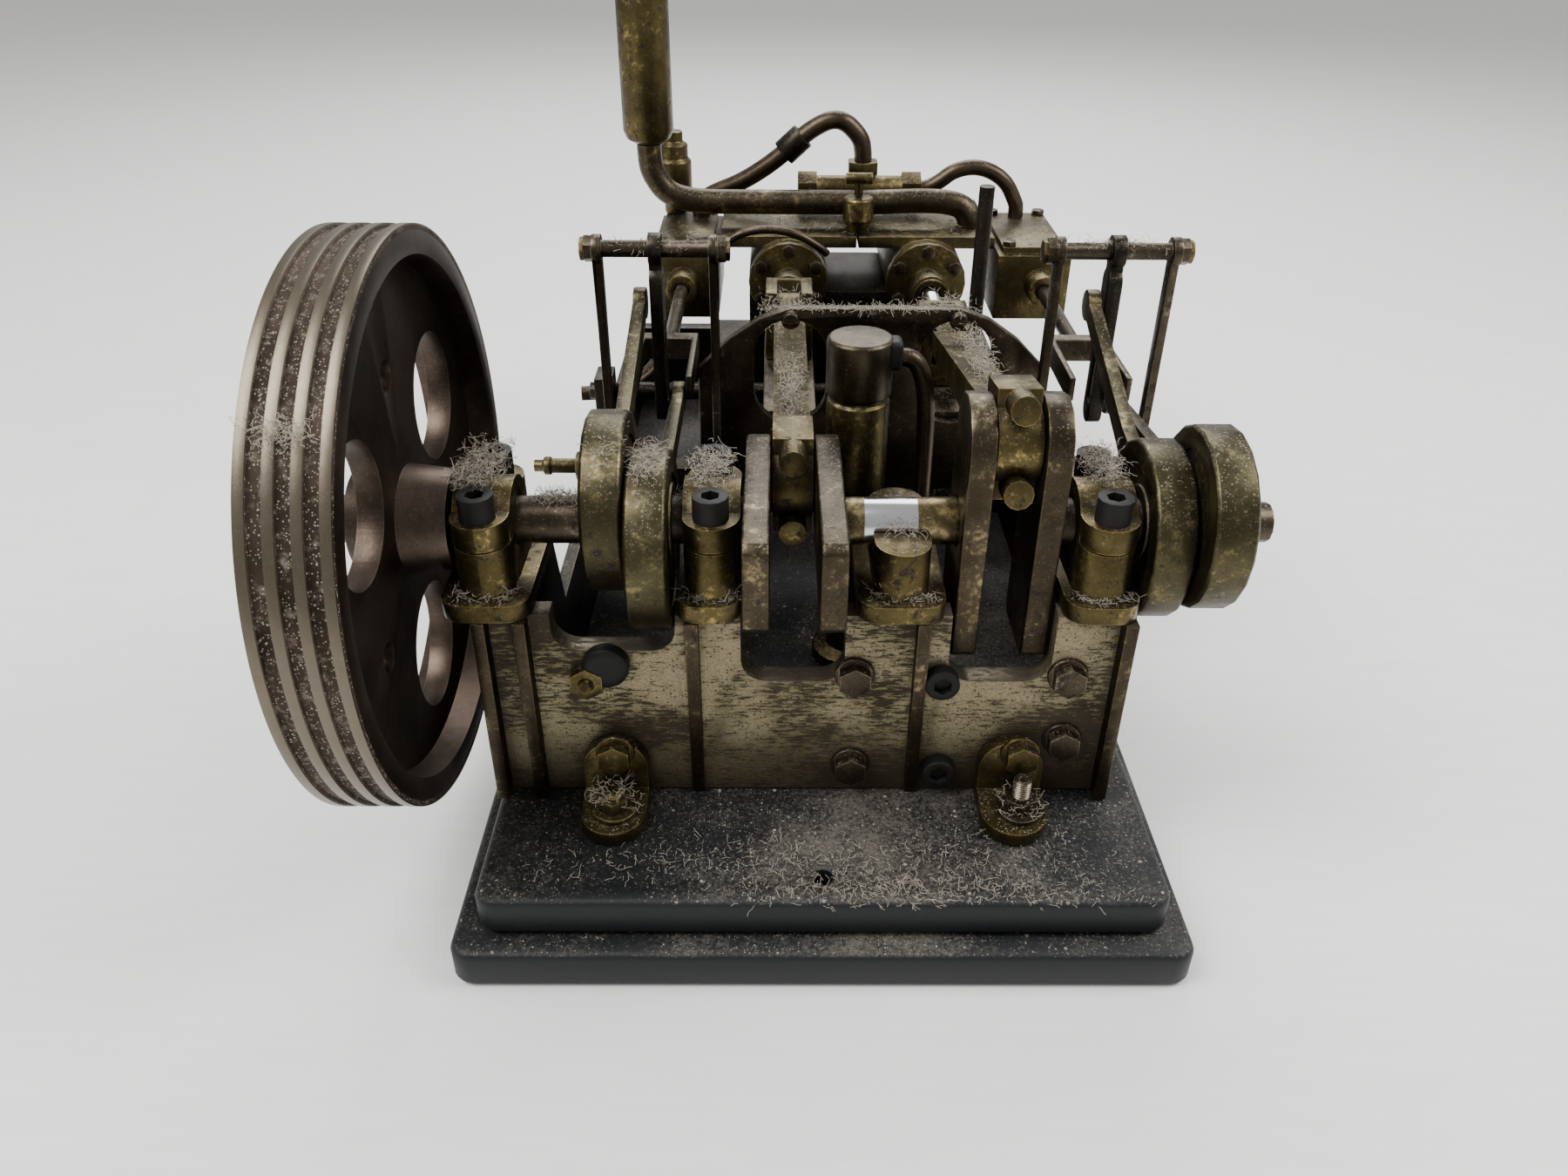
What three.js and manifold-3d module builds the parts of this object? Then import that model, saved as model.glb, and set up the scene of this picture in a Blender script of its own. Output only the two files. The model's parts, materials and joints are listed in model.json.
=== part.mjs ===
// A twin-cylinder horizontal model steam engine on a two-tier plinth.
// Millimetres, +Z up, +Y from the crankshaft towards the cylinders, origin at the middle of the underside.
import * as THREE from "three";
import { mergeVertices } from "three/addons/utils/BufferGeometryUtils.js";
import Module from "manifold-3d";

const wasm = await Module();
wasm.setup();

// ---- Driving dimensions ----
const GAP = 0.3; // between pieces that touch
const RUN = 0.3; // radial clearance of a pin or shaft in its bore
const ROUND = 20; // sides of a large round piece
const SMALL_ROUND = 12; // sides of a small round piece
const ARC_STEPS = 3; // half the sides of each rounded corner
const STEP_DIAMETERS = 0.9; // length of each straight stretch of a pipe, in pipe diameters

const PLINTH_LENGTH = 264;
const PLINTH_WIDTH = 147;
const TIER_HEIGHT = 9;
const TIER_STEP = 5;
const TIER_BEVEL = 1.5;
const PLINTH_CORNER = 3;
const SCREW_HOLE = 4;
const SHAFT_HEIGHT = 78; // crankshaft axis above the underside
const SHAFT_FROM_FRONT = 50; // crankshaft axis behind the plinth's front edge

const SHAFT_DIAMETER = 9.5;
const CRANK_RADIUS = 17.5;
const ROD_LENGTH = 105; // connecting rod between centres
const WEB_THICKNESS = 5;
const WEB_GAP = 9.2; // between the two webs of a crank
const WEB_WIDTH = 19;
const WEB_TAIL = 27; // crankshaft axis to the square end
const CRANK_PIN_DIAMETER = 8;

const FLYWHEEL_DIAMETER = 112;
const FLYWHEEL_WIDTH = 15;
const RIM_SIDES = 40;
const RIM_DEPTH = 5.5;
const GROOVES = 3;
const GROOVE_WIDTH = 2.6;
const GROOVE_DEPTH = 0.9;
const FLYWHEEL_WEB = 5;
const FLYWHEEL_HOLES = 3;
const FLYWHEEL_HOLE = 26.4;
const FLYWHEEL_BALANCE_HOLE = 6;
const FLYWHEEL_HOLE_CIRCLE = 30;
const FLYWHEEL_HUB = 20;
const HUB_PROUD = 4.2;

const PLATE_THICKNESS = 5;
const PLATE_BACK = -7.5; // back face of the front plate
const PLATE_TOP = -14.4;
const CUT_BOTTOM = -30.4; // lowest point of the crank cut-outs
const ECCENTRIC_CUT_BOTTOM = -23;
const RIB_THICKNESS = 2.6;
const RIB_FRONT = -16;
const RAIL_THICKNESS = 3;
const RAIL_TOP = -34;

const BEARING_WIDTH = 11;
const BEARING_LENGTH = 28;
const BEARING_TOP = 9.5;
const FLANGE_THICKNESS = 3.8;
const FLANGE_LENGTH = 32;
const CAP_SCREW_HEAD = 7;
const CAP_SCREW_HEIGHT = 4;
const JOINT_LINE = 0.4; // where the caps part from the pedestals

const ROD_WIDTH = 8.4;
const ROD_HEIGHT = 9; // at the big end
const ROD_TIP_HEIGHT = 6; // at the small end
const SMALL_END_WIDTH = 6;
const SMALL_END_RADIUS = 5;
const GUDGEON_DIAMETER = 4;
const CROSSHEAD_WIDTH = 13.2;
const CROSSHEAD_FRONT = 6;
const CROSSHEAD_BACK = 8;
const SLIPPER_BOTTOM = -12.5;
const SLIDE_BAR_THICKNESS = 3.5;

const MOTION_THICKNESS = 3;
const MOTION_HOLE_WIDTH = 18.4; // opening round each connecting rod
const MOTION_HOLE_TOP = 13;
const MOTION_HOLE_BOTTOM = -14.5;
const SLOT_FLAT = 0.2; // straight stretch left between the openings' rounded corners
const MOTION_TOP = 16;
const CROSSHEAD_FREE = 0.5; // between a crosshead and the motion plate at the end of its stroke
const MOTION_FRONT = ROD_LENGTH - CRANK_RADIUS - CROSSHEAD_FRONT - MOTION_THICKNESS - CROSSHEAD_FREE;

const PISTON_ROD_DIAMETER = 5.7;
const GLAND_LENGTH = 12;
const GLAND_FRONT = ROD_LENGTH + CRANK_RADIUS + CROSSHEAD_BACK + 4.5;
const COVER_FRONT = GLAND_FRONT + GLAND_LENGTH;
const COVER_THICKNESS = 4;
const CYLINDER_LENGTH = 50;
const CYLINDER_RADIUS = 12;
const BORE_RADIUS = 8;
const BACK_WALL = 4;
const PISTON_THICKNESS = 7;
const CYLINDER_TOP = 12.5;

const ECCENTRICITY = 4;
const SHEAVE_RADIUS = 13;
const SHEAVE_INSET = 0.5;
const STRAP_GAP = 0.2; // from the middle of the valve gear to the faces of its two straps
const STRAP_RADIUS = 18;
const STRAP_WIDTH = 8;
const ECCENTRIC_ROD_THICKNESS = 3;
const ECCENTRIC_ROD_OFFSET = 4.1; // rod plane from the middle of the valve gear
const GEAR_Y = MOTION_FRONT - 8; // expansion links behind the crankshaft
const GEAR_TOP = 33; // cross rods above the crankshaft axis
const HANGER_PIVOT = -25;
const HANGER_SPREAD = 13.5;
const LINK_THICKNESS = 3;
const CROSS_ROD_RADIUS = 2;
const UPPER_ROD_END = 20;
const LOWER_ROD_END = -4;

const CHEST_TOP = 8.5;
const CHEST_BACK = COVER_FRONT + 43;
const CHEST_OVERHANG = 9; // from a valve spindle to its chest's outer side
const SPINDLE_DIAMETER = 4;
const PIPE_Y = COVER_FRONT + 18; // exhaust run behind the crankshaft
const STEAM_Y = COVER_FRONT + 35;
const EXHAUST_DIAMETER = 7.4;
const STEAM_DIAMETER = 5.6;
const SILENCER_DIAMETER = 15;
const SILENCER_BOTTOM = 36.5;
const SILENCER_TOP = 92;
const SILENCER_X = -48;
const EXHAUST_END = 50;
const VALVE_NECK = 8.5;
const VALVE = { left: -3, right: 36, union: 17.5, z: CYLINDER_TOP + 7, radius: 4 };
const OIL_CUP = { x: 14.8, y: COVER_FRONT + 9, base: CYLINDER_TOP + GAP };
const PUMP = { x: 8.5, y: 38, radius: 7, top: 24 };

// Places across the engine, from the middle of the plinth.
const LEFT_CRANK = -6.1;
const RIGHT_CRANK = 35.7;
const LEFT_GEAR = -38;
const RIGHT_GEAR = 70;
const FLYWHEEL_BACK = -76.5;
const SHAFT_LEFT_END = -95;
const COLLAR_START = 79.6;
const SEAT = 1.5; // how far a shaft end stands inside its web
const PAD_CLEAR = 9; // the chests stand clear of the pads on top of the cylinders
const SHAFT_RIGHT_END = 88;
const BEARINGS = [
  { x: -65.9, flange: [-74.5, -57.3] },
  { x: -21.9, flange: [-29, -16.3] },
  { x: 15, flange: [6.4, 23.7] },
  { x: 54.2, flange: [46.8, 61.4] },
];
const OPEN_BEARING = 3; // this one has lost its cap
const RIBS = [-67.4, -59.5, -26, 19.5, 59.9];
const RAILS = [-59.5, -26, 19.5, 59.5];

// ---- Finishes ----
const metal = (color, roughness, metalness) =>
  new THREE.MeshStandardMaterial({ color, roughness, metalness });
const BLACK_PAINT = metal(0x15181a, 0.45, 0);
const PITTED_PLATE = metal(0x8c8468, 0.6, 0.7);
const OLD_BRASS = metal(0x7a6636, 0.42, 0.9);
const GREEN_BRASS = metal(0x5d6045, 0.5, 0.8);
const BROWN_STEEL = metal(0x5f554b, 0.45, 0.9);
const BRIGHT_STEEL = metal(0xc3c5c6, 0.15, 1);
const DARK_STEEL = metal(0x33302c, 0.5, 0.8);
const COPPER = metal(0x7c4f38, 0.4, 0.9);

// ---- Solid makers ----
const manifold = (vertProperties, triVerts) =>
  new wasm.Manifold(new wasm.Mesh({ numProp: 3, vertProperties, triVerts }));

// A geometry as a solid whose faces point out, whichever way its profile ran.
function solid(geometry) {
  const bare = geometry.clone();
  bare.deleteAttribute("normal");
  bare.deleteAttribute("uv");
  const merged = mergeVertices(bare, 1e-4);
  const corners = merged.attributes.position.array;
  const made = manifold(corners, new Uint32Array(merged.index.array));
  return made.volume() > 0 ? made : manifold(corners, new Uint32Array(merged.index.array).reverse());
}

const block = ([x0, x1], [y0, y1], [z0, z1]) =>
  solid(
    new THREE.BoxGeometry(x1 - x0, y1 - y0, z1 - z0).translate((x0 + x1) / 2, (y0 + y1) / 2, (z0 + z1) / 2),
  );

// Turns a shape made along +Z, with its section in X and Y, to lie along another axis.
// Along x the section's axes are y and z; along y they are x and z.
const TURN = {
  x: new THREE.Matrix4().set(0, 0, 1, 0, 1, 0, 0, 0, 0, 1, 0, 0, 0, 0, 0, 1),
  y: new THREE.Matrix4().set(1, 0, 0, 0, 0, 0, 1, 0, 0, 1, 0, 0, 0, 0, 0, 1),
  z: new THREE.Matrix4(),
};

const round = (axis, radius, [from, to], [u, v], sides = SMALL_ROUND) =>
  solid(
    new THREE.CylinderGeometry(radius, radius, to - from, sides)
      .rotateX(Math.PI / 2)
      .translate(u, v, (from + to) / 2)
      .applyMatrix4(TURN[axis]),
  );

const hexagon = (axis, acrossFlats, range, centre) =>
  round(axis, acrossFlats / Math.sqrt(3), range, centre, 6);

const plate = (axis, shape, [from, to]) =>
  solid(
    new THREE.ExtrudeGeometry(shape, { depth: to - from, bevelEnabled: false, curveSegments: ARC_STEPS })
      .translate(0, 0, from)
      .applyMatrix4(TURN[axis]),
  );

// A turned piece: profile points are [radius, distance along the axis].
const turned = (axis, profile, [u, v], sides = ROUND) =>
  solid(
    new THREE.LatheGeometry(profile.map(([r, h]) => new THREE.Vector2(r, h)), sides)
      .rotateX(Math.PI / 2)
      .translate(u, v, 0)
      .applyMatrix4(TURN[axis]),
  );

const outline = (points) => new THREE.Shape(points.map(([u, v]) => new THREE.Vector2(u, v)));

function roundedRectangle([u0, u1], [v0, v1], r) {
  const shape = new THREE.Shape();
  shape.moveTo(u0 + r, v0);
  shape.lineTo(u1 - r, v0);
  shape.absarc(u1 - r, v0 + r, r, -Math.PI / 2, 0);
  shape.lineTo(u1, v1 - r);
  shape.absarc(u1 - r, v1 - r, r, 0, Math.PI / 2);
  shape.lineTo(u0 + r, v1);
  shape.absarc(u0 + r, v1 - r, r, Math.PI / 2, Math.PI);
  shape.lineTo(u0, v0 + r);
  shape.absarc(u0 + r, v0 + r, r, Math.PI, 1.5 * Math.PI);
  return shape;
}

function pipe(points, diameter, sides = 8) {
  const route = new THREE.CatmullRomCurve3(points.map((p) => new THREE.Vector3(...p)));
  const section = new THREE.Shape().absarc(0, 0, diameter / 2, 0, 2 * Math.PI);
  const steps = Math.min(60, Math.ceil(route.getLength() / (diameter * STEP_DIAMETERS)));
  return solid(new THREE.ExtrudeGeometry(section, { extrudePath: route, steps, curveSegments: sides / 2 }));
}

const join = (first, ...others) => others.reduce((sum, one) => sum.add(one), first);
const cut = (first, ...others) => others.reduce((left, one) => left.subtract(one), first);

const model = new THREE.Group();
const engine = new THREE.Group(); // its origin is the middle of the crankshaft axis
engine.position.set(0, SHAFT_FROM_FRONT - PLINTH_LENGTH / 2, SHAFT_HEIGHT);
model.add(engine);

function add(parent, name, shape, material) {
  const { vertProperties, triVerts } = shape.getMesh();
  const geometry = new THREE.BufferGeometry();
  geometry.setAttribute("position", new THREE.BufferAttribute(vertProperties, 3));
  geometry.setIndex(new THREE.BufferAttribute(triVerts, 1));
  geometry.computeVertexNormals();
  const mesh = new THREE.Mesh(geometry, material);
  mesh.name = name;
  parent.add(mesh);
}

// ---- Plinth ----
function tier(length, width, bottom) {
  const inset = TIER_BEVEL;
  const shape = roundedRectangle(
    [inset - width / 2, width / 2 - inset],
    [inset - length / 2, length / 2 - inset],
    PLINTH_CORNER,
  );
  const raised = new THREE.ExtrudeGeometry(shape, {
    depth: TIER_HEIGHT - 2 * TIER_BEVEL,
    bevelThickness: TIER_BEVEL,
    bevelSize: TIER_BEVEL,
    bevelSegments: 2,
    curveSegments: ARC_STEPS,
  });
  return solid(raised.translate(0, 0, bottom + TIER_BEVEL));
}

const PLINTH_TOP = 2 * TIER_HEIGHT + GAP;
const FOOT = PLINTH_TOP + GAP - SHAFT_HEIGHT; // where the frame stands, from the crankshaft axis
const HOLE_Y = 12 - PLINTH_LENGTH / 2;
add(model, "plinth_lower", tier(PLINTH_LENGTH, PLINTH_WIDTH, 0), BLACK_PAINT);
add(
  model,
  "plinth_upper",
  cut(
    tier(PLINTH_LENGTH - 2 * TIER_STEP, PLINTH_WIDTH - 2 * TIER_STEP, TIER_HEIGHT + GAP),
    round("z", SCREW_HOLE / 2, [TIER_HEIGHT, PLINTH_TOP + 1], [0, HOLE_Y]),
  ),
  BLACK_PAINT,
);

// ---- Engine bed ----
const CRANK_WIDTH = WEB_GAP + 2 * WEB_THICKNESS;
const PLATE_LEFT = -69;
const PLATE_RIGHT = 61.5;

function notch(left, right, bottom) {
  const r = 5;
  const lower = roundedRectangle([left, right], [bottom, PLATE_TOP + 4 * r], r);
  return plate("y", lower, [PLATE_BACK - PLATE_THICKNESS - 20, PLATE_BACK + 1]);
}

function rib(x, foot) {
  const front = PLATE_BACK - PLATE_THICKNESS;
  const side = outline([
    [front + 1, PLATE_TOP],
    [RIB_FRONT, PLATE_TOP],
    [front - foot, FOOT],
    [front + 1, FOOT],
  ]);
  return plate("x", side, [x - RIB_THICKNESS / 2, x + RIB_THICKNESS / 2]);
}

function frontPlate() {
  const plateFront = PLATE_BACK - PLATE_THICKNESS;
  const whole = block([PLATE_LEFT, PLATE_RIGHT], [plateFront, PLATE_BACK], [FOOT, PLATE_TOP]);
  const half = CRANK_WIDTH / 2 + 0.8;
  return cut(
    join(whole, ...RIBS.map((x) => rib(x, Math.abs(x) > 50 ? 3.5 : 1))),
    notch(-54, BEARINGS[1].flange[0] - 0.5, ECCENTRIC_CUT_BOTTOM),
    notch(LEFT_CRANK - half, LEFT_CRANK + half, CUT_BOTTOM),
    notch(RIGHT_CRANK - half, RIGHT_CRANK + half, CUT_BOTTOM),
  );
}
add(engine, "front_plate", frontPlate(), PITTED_PLATE);

const REVERSING = { y: 118, z: -23, radius: 2.5 };
const BED_BACK = 205;

function hangerBracket(gear, railLeft, railRight) {
  const half = HANGER_SPREAD - 1.6;
  return join(
    block([railLeft, railRight], [GEAR_Y - 5, GEAR_Y + 5], [RAIL_TOP - 2, RAIL_TOP + 3]),
    block([gear - half, gear + half], [GEAR_Y - 4, GEAR_Y + 4], [RAIL_TOP, HANGER_PIVOT + 3]),
    round("x", 2, [gear - HANGER_SPREAD - 2.5, gear + HANGER_SPREAD + 2.5], [GEAR_Y, HANGER_PIVOT]),
  );
}

function shaftPost(x) {
  const half = RAIL_THICKNESS / 2 + 1;
  return block(
    [x - half, x + half],
    [REVERSING.y - 5, REVERSING.y + 5],
    [RAIL_TOP - 2, REVERSING.z + REVERSING.radius + 3],
  );
}

function bedFrame() {
  const half = RAIL_THICKNESS / 2;
  const side = outline([
    [PLATE_BACK + GAP, FOOT],
    [BED_BACK, FOOT],
    [BED_BACK, RAIL_TOP],
    [24, RAIL_TOP],
    [17, PLATE_TOP],
    [PLATE_BACK + GAP, PLATE_TOP],
  ]);
  const rails = RAILS.map((x) => plate("x", side, [x - half, x + half]));
  const ends = [RAILS[0] - half, RAILS[3] + half];
  return cut(
    join(
      ...rails,
      block(ends, [BED_BACK - 5, BED_BACK], [FOOT, RAIL_TOP]),
      block(ends, [MOTION_FRONT - 4, MOTION_FRONT + 6], [RAIL_TOP - 5, RAIL_TOP]),
      hangerBracket(LEFT_GEAR, ends[0], RAILS[1] + half),
      hangerBracket(RIGHT_GEAR, RAILS[3] - half, RIGHT_GEAR + 8),
      shaftPost(RAILS[0]),
      shaftPost(RAILS[3]),
    ),
    round("x", REVERSING.radius + RUN, [RAILS[0] - 5, RAILS[3] + 5], [REVERSING.y, REVERSING.z]),
  );
}
add(engine, "bed_frame", bedFrame(), DARK_STEEL);

// ---- Motion plate: carries the front ends of the slide bars ----
const MOTION_BACK = MOTION_FRONT + MOTION_THICKNESS;
const MIDDLE = (LEFT_CRANK + RIGHT_CRANK) / 2;

function motionPlate() {
  const half = 44.3;
  const shoulder = 21;
  const shape = new THREE.Shape();
  shape.moveTo(MIDDLE - half, RAIL_TOP + GAP);
  shape.lineTo(MIDDLE + half, RAIL_TOP + GAP);
  shape.lineTo(MIDDLE + half, 0);
  shape.quadraticCurveTo(MIDDLE + half - 12, MOTION_TOP - 2, MIDDLE + shoulder, MOTION_TOP);
  shape.lineTo(MIDDLE - shoulder, MOTION_TOP);
  shape.quadraticCurveTo(MIDDLE - half + 12, MOTION_TOP - 2, MIDDLE - half, 0);
  const radius = MOTION_HOLE_WIDTH / 2;
  const holes = [LEFT_CRANK, RIGHT_CRANK].map((x) => {
    const heights = [MOTION_HOLE_BOTTOM, MOTION_HOLE_TOP];
    const slot = roundedRectangle([x - radius, x + radius], heights, radius - SLOT_FLAT);
    return plate("y", slot, [MOTION_FRONT - 1, MOTION_BACK + 1]);
  });
  return cut(plate("y", shape, [MOTION_FRONT, MOTION_BACK]), ...holes);
}
add(engine, "motion_plate", motionPlate(), OLD_BRASS);

// ---- Main bearings ----
const BORE = SHAFT_DIAMETER / 2 + RUN;

function column(x, from, to) {
  const half = BEARING_LENGTH / 2;
  const stadium = roundedRectangle(
    [x - BEARING_WIDTH / 2, x + BEARING_WIDTH / 2],
    [-half, half],
    BEARING_WIDTH / 2 - 0.01,
  );
  return plate("z", stadium, [from, to]);
}

const shaftBore = (x) => round("x", BORE, [x - BEARING_WIDTH, x + BEARING_WIDTH], [0, 0], ROUND);

function pedestal({ x, flange: [left, right] }) {
  const bottom = PLATE_TOP + GAP;
  const base = roundedRectangle([left, right], [-FLANGE_LENGTH / 2, FLANGE_LENGTH / 2], 4.5);
  return cut(
    join(plate("z", base, [bottom, bottom + FLANGE_THICKNESS]), column(x, bottom + 1, JOINT_LINE - GAP)),
    shaftBore(x),
  );
}

function bearingCap({ x }) {
  const crown = round("x", BEARING_TOP - 0.5, [x - BEARING_WIDTH / 2, x + BEARING_WIDTH / 2], [0, 0], ROUND);
  const above = block([x - 20, x + 20], [-30, 30], [JOINT_LINE, 30]);
  const screws = [-1, 1].map((side) =>
    cut(
      round("z", CAP_SCREW_HEAD / 2, [4, BEARING_TOP + 1], [x, side * 9.4], SMALL_ROUND),
      hexagon("z", 3, [BEARING_TOP - 1.5, BEARING_TOP + 2], [x, side * 9.4]),
    ),
  );
  const body = column(x, JOINT_LINE, BEARING_TOP - CAP_SCREW_HEIGHT);
  return cut(join(body, crown.intersect(above), ...screws), shaftBore(x));
}

BEARINGS.forEach((bearing, i) => {
  add(engine, `bearing_pedestal_${i + 1}`, pedestal(bearing), OLD_BRASS);
  if (i + 1 !== OPEN_BEARING) add(engine, `bearing_cap_${i + 1}`, bearingCap(bearing), OLD_BRASS);
});

// ---- Feet that hold the front plate down ----
function foot(x) {
  const width = 13.5;
  const face = PLATE_BACK - PLATE_THICKNESS - GAP;
  const upright = roundedRectangle([x - width / 2, x + width / 2], [FOOT - 10, -44], width / 2 - 0.01);
  const toe = roundedRectangle([x - width / 2, x + width / 2], [face - 17, face + 10], width / 2 - 0.01);
  const keepAbove = block([x - 20, x + 20], [face - 40, face], [FOOT, 0]);
  return join(plate("y", upright, [face - 3, face]), plate("z", toe, [FOOT, FOOT + 3])).intersect(keepAbove);
}
add(engine, "foot_bracket_left", foot(-43), OLD_BRASS);
add(engine, "foot_bracket_right", foot(40), OLD_BRASS);

// ---- Cylinders ----
const BARREL_FRONT = COVER_FRONT + COVER_THICKNESS + GAP;
const BARREL_BACK = BARREL_FRONT + CYLINDER_LENGTH;

function cylinder(x) {
  const barrel = turned(
    "y",
    [
      [0, BARREL_BACK],
      [CYLINDER_RADIUS - 2, BARREL_BACK],
      [CYLINDER_RADIUS, BARREL_BACK - 2],
      [CYLINDER_RADIUS, BARREL_FRONT],
      [BORE_RADIUS, BARREL_FRONT],
      [BORE_RADIUS, BARREL_BACK - BACK_WALL],
      [0, BARREL_BACK - BACK_WALL],
    ],
    [x, 0],
  );
  const pad = block(
    [x - 20.6, x + 20.6],
    [BARREL_FRONT + 1, BARREL_BACK - 5],
    [BORE_RADIUS + 1, CYLINDER_TOP],
  );
  return join(barrel, pad);
}

function frontCover(x) {
  const glandRadius = 6;
  const bore = PISTON_ROD_DIAMETER / 2 + RUN;
  const profile = [
    [bore, GLAND_FRONT],
    [glandRadius, GLAND_FRONT],
    [glandRadius, GLAND_FRONT + 5],
    [glandRadius - 1.5, GLAND_FRONT + 6],
    [glandRadius - 1.5, COVER_FRONT],
    [CYLINDER_RADIUS, COVER_FRONT],
    [CYLINDER_RADIUS, COVER_FRONT + COVER_THICKNESS],
    [bore, COVER_FRONT + COVER_THICKNESS],
    [bore, GLAND_FRONT],
  ];
  return turned("y", profile, [x, 0]);
}

function slideBar(x) {
  const top = SLIPPER_BOTTOM - GAP;
  const half = CROSSHEAD_WIDTH / 2 + 0.4;
  const heights = [top - SLIDE_BAR_THICKNESS, top];
  return block([x - half, x + half], [MOTION_BACK + GAP, BARREL_FRONT - GAP], heights);
}

for (const [side, x] of [
  ["left", LEFT_CRANK],
  ["right", RIGHT_CRANK],
]) {
  add(engine, `cylinder_${side}`, cylinder(x), OLD_BRASS);
  add(engine, `front_cover_${side}`, frontCover(x), OLD_BRASS);
  add(engine, `slide_bar_${side}`, slideBar(x), BROWN_STEEL);
}

const SADDLE_LEFT = LEFT_CRANK - 12;
const SADDLE_RIGHT = RIGHT_CRANK + 12;

function cylinderSaddle() {
  const ends = [BARREL_FRONT + 3, BARREL_BACK - 6];
  const base = block([RAILS[1] - 4, RAILS[3] + 2], ends, [RAIL_TOP + GAP, RAIL_TOP + 5]);
  const seat = block([SADDLE_LEFT, SADDLE_RIGHT], ends, [RAIL_TOP + GAP, -5]);
  const barrels = [LEFT_CRANK, RIGHT_CRANK].map((x) =>
    round("y", CYLINDER_RADIUS + GAP, [BARREL_FRONT, BARREL_BACK], [x, 0], ROUND),
  );
  return cut(join(base, seat), ...barrels);
}
add(engine, "cylinder_saddle", cylinderSaddle(), DARK_STEEL);

// ---- Valve chests, one outside each cylinder ----
function valveChest(gear, inner, outer) {
  const [left, right] = [Math.min(inner, outer), Math.max(inner, outer)];
  const body = join(
    block([left, right], [COVER_FRONT, CHEST_BACK], [-11, CHEST_TOP]),
    block([left + 1.5, right - 1.5], [COVER_FRONT + 2, CHEST_BACK - 2], [CHEST_TOP - 1, CHEST_TOP + 2]),
    round("y", 4.6, [GLAND_FRONT + 4, COVER_FRONT + 1], [gear, 0], SMALL_ROUND),
  );
  const bore = SPINDLE_DIAMETER / 2 + RUN;
  return cut(body, round("y", bore, [GLAND_FRONT, CHEST_BACK - 4], [gear, 0], SMALL_ROUND));
}
const CHEST_LEFT_INNER = LEFT_CRANK - CYLINDER_RADIUS - GAP;
const CHEST_RIGHT_INNER = RIGHT_CRANK + CYLINDER_RADIUS + GAP;
const leftChest = valveChest(LEFT_GEAR, CHEST_LEFT_INNER - PAD_CLEAR, LEFT_GEAR - CHEST_OVERHANG);
const rightChest = valveChest(RIGHT_GEAR, CHEST_RIGHT_INNER + PAD_CLEAR, RIGHT_GEAR + CHEST_OVERHANG);
add(engine, "valve_chest_left", leftChest, OLD_BRASS);
add(engine, "valve_chest_right", rightChest, OLD_BRASS);

// ---- Crankshaft, built up from three shafts and four webs ----
const BETWEEN_WEBS = WEB_GAP / 2;
const OUTSIDE_WEBS = WEB_GAP / 2 + WEB_THICKNESS;

function web(x0, x1, turn) {
  const half = WEB_WIDTH / 2;
  const shape = new THREE.Shape();
  shape.moveTo(-WEB_TAIL, -half + 1.5);
  shape.lineTo(-WEB_TAIL + 1.5, -half);
  shape.lineTo(CRANK_RADIUS, -half);
  shape.absarc(CRANK_RADIUS, 0, half, -Math.PI / 2, Math.PI / 2);
  shape.lineTo(-WEB_TAIL + 1.5, half);
  shape.lineTo(-WEB_TAIL, half - 1.5);
  return plate("x", shape, [x0, x1]).rotate([turn, 0, 0]);
}

function crank(side, x, turn) {
  const seats = (from, to) => round("x", SHAFT_DIAMETER / 2 + GAP, [from, to], [0, 0], ROUND);
  const [leftOuter, leftInner] = [x - OUTSIDE_WEBS, x - BETWEEN_WEBS];
  const [rightInner, rightOuter] = [x + BETWEEN_WEBS, x + OUTSIDE_WEBS];
  const leftWeb = cut(web(leftOuter, leftInner, turn), seats(leftOuter - 1, leftOuter + SEAT + GAP));
  const rightWeb = cut(web(rightInner, rightOuter, turn), seats(rightOuter - SEAT - GAP, rightOuter + 1));
  const [outer, inner] = side === "left" ? [leftWeb, rightWeb] : [rightWeb, leftWeb];
  add(engine, `crank_web_${side}_outer`, outer, BROWN_STEEL);
  add(engine, `crank_web_${side}_inner`, inner, BROWN_STEEL);
}
crank("left", LEFT_CRANK, 0);
crank("right", RIGHT_CRANK, 90);

const spindle = (from, to) => round("x", SHAFT_DIAMETER / 2, [from, to], [0, 0], ROUND);
add(engine, "shaft_left", spindle(SHAFT_LEFT_END, LEFT_CRANK - OUTSIDE_WEBS + SEAT), BROWN_STEEL);
add(
  engine,
  "shaft_middle",
  spindle(LEFT_CRANK + OUTSIDE_WEBS - SEAT, RIGHT_CRANK - OUTSIDE_WEBS + SEAT),
  BRIGHT_STEEL,
);
add(
  engine,
  "shaft_right",
  join(
    spindle(RIGHT_CRANK + OUTSIDE_WEBS - SEAT, COLLAR_START),
    round("x", 6, [COLLAR_START, COLLAR_START + 5], [0, 0], ROUND),
    round("x", 4, [COLLAR_START + 4, SHAFT_RIGHT_END], [0, 0], SMALL_ROUND),
  ),
  BROWN_STEEL,
);

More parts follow.
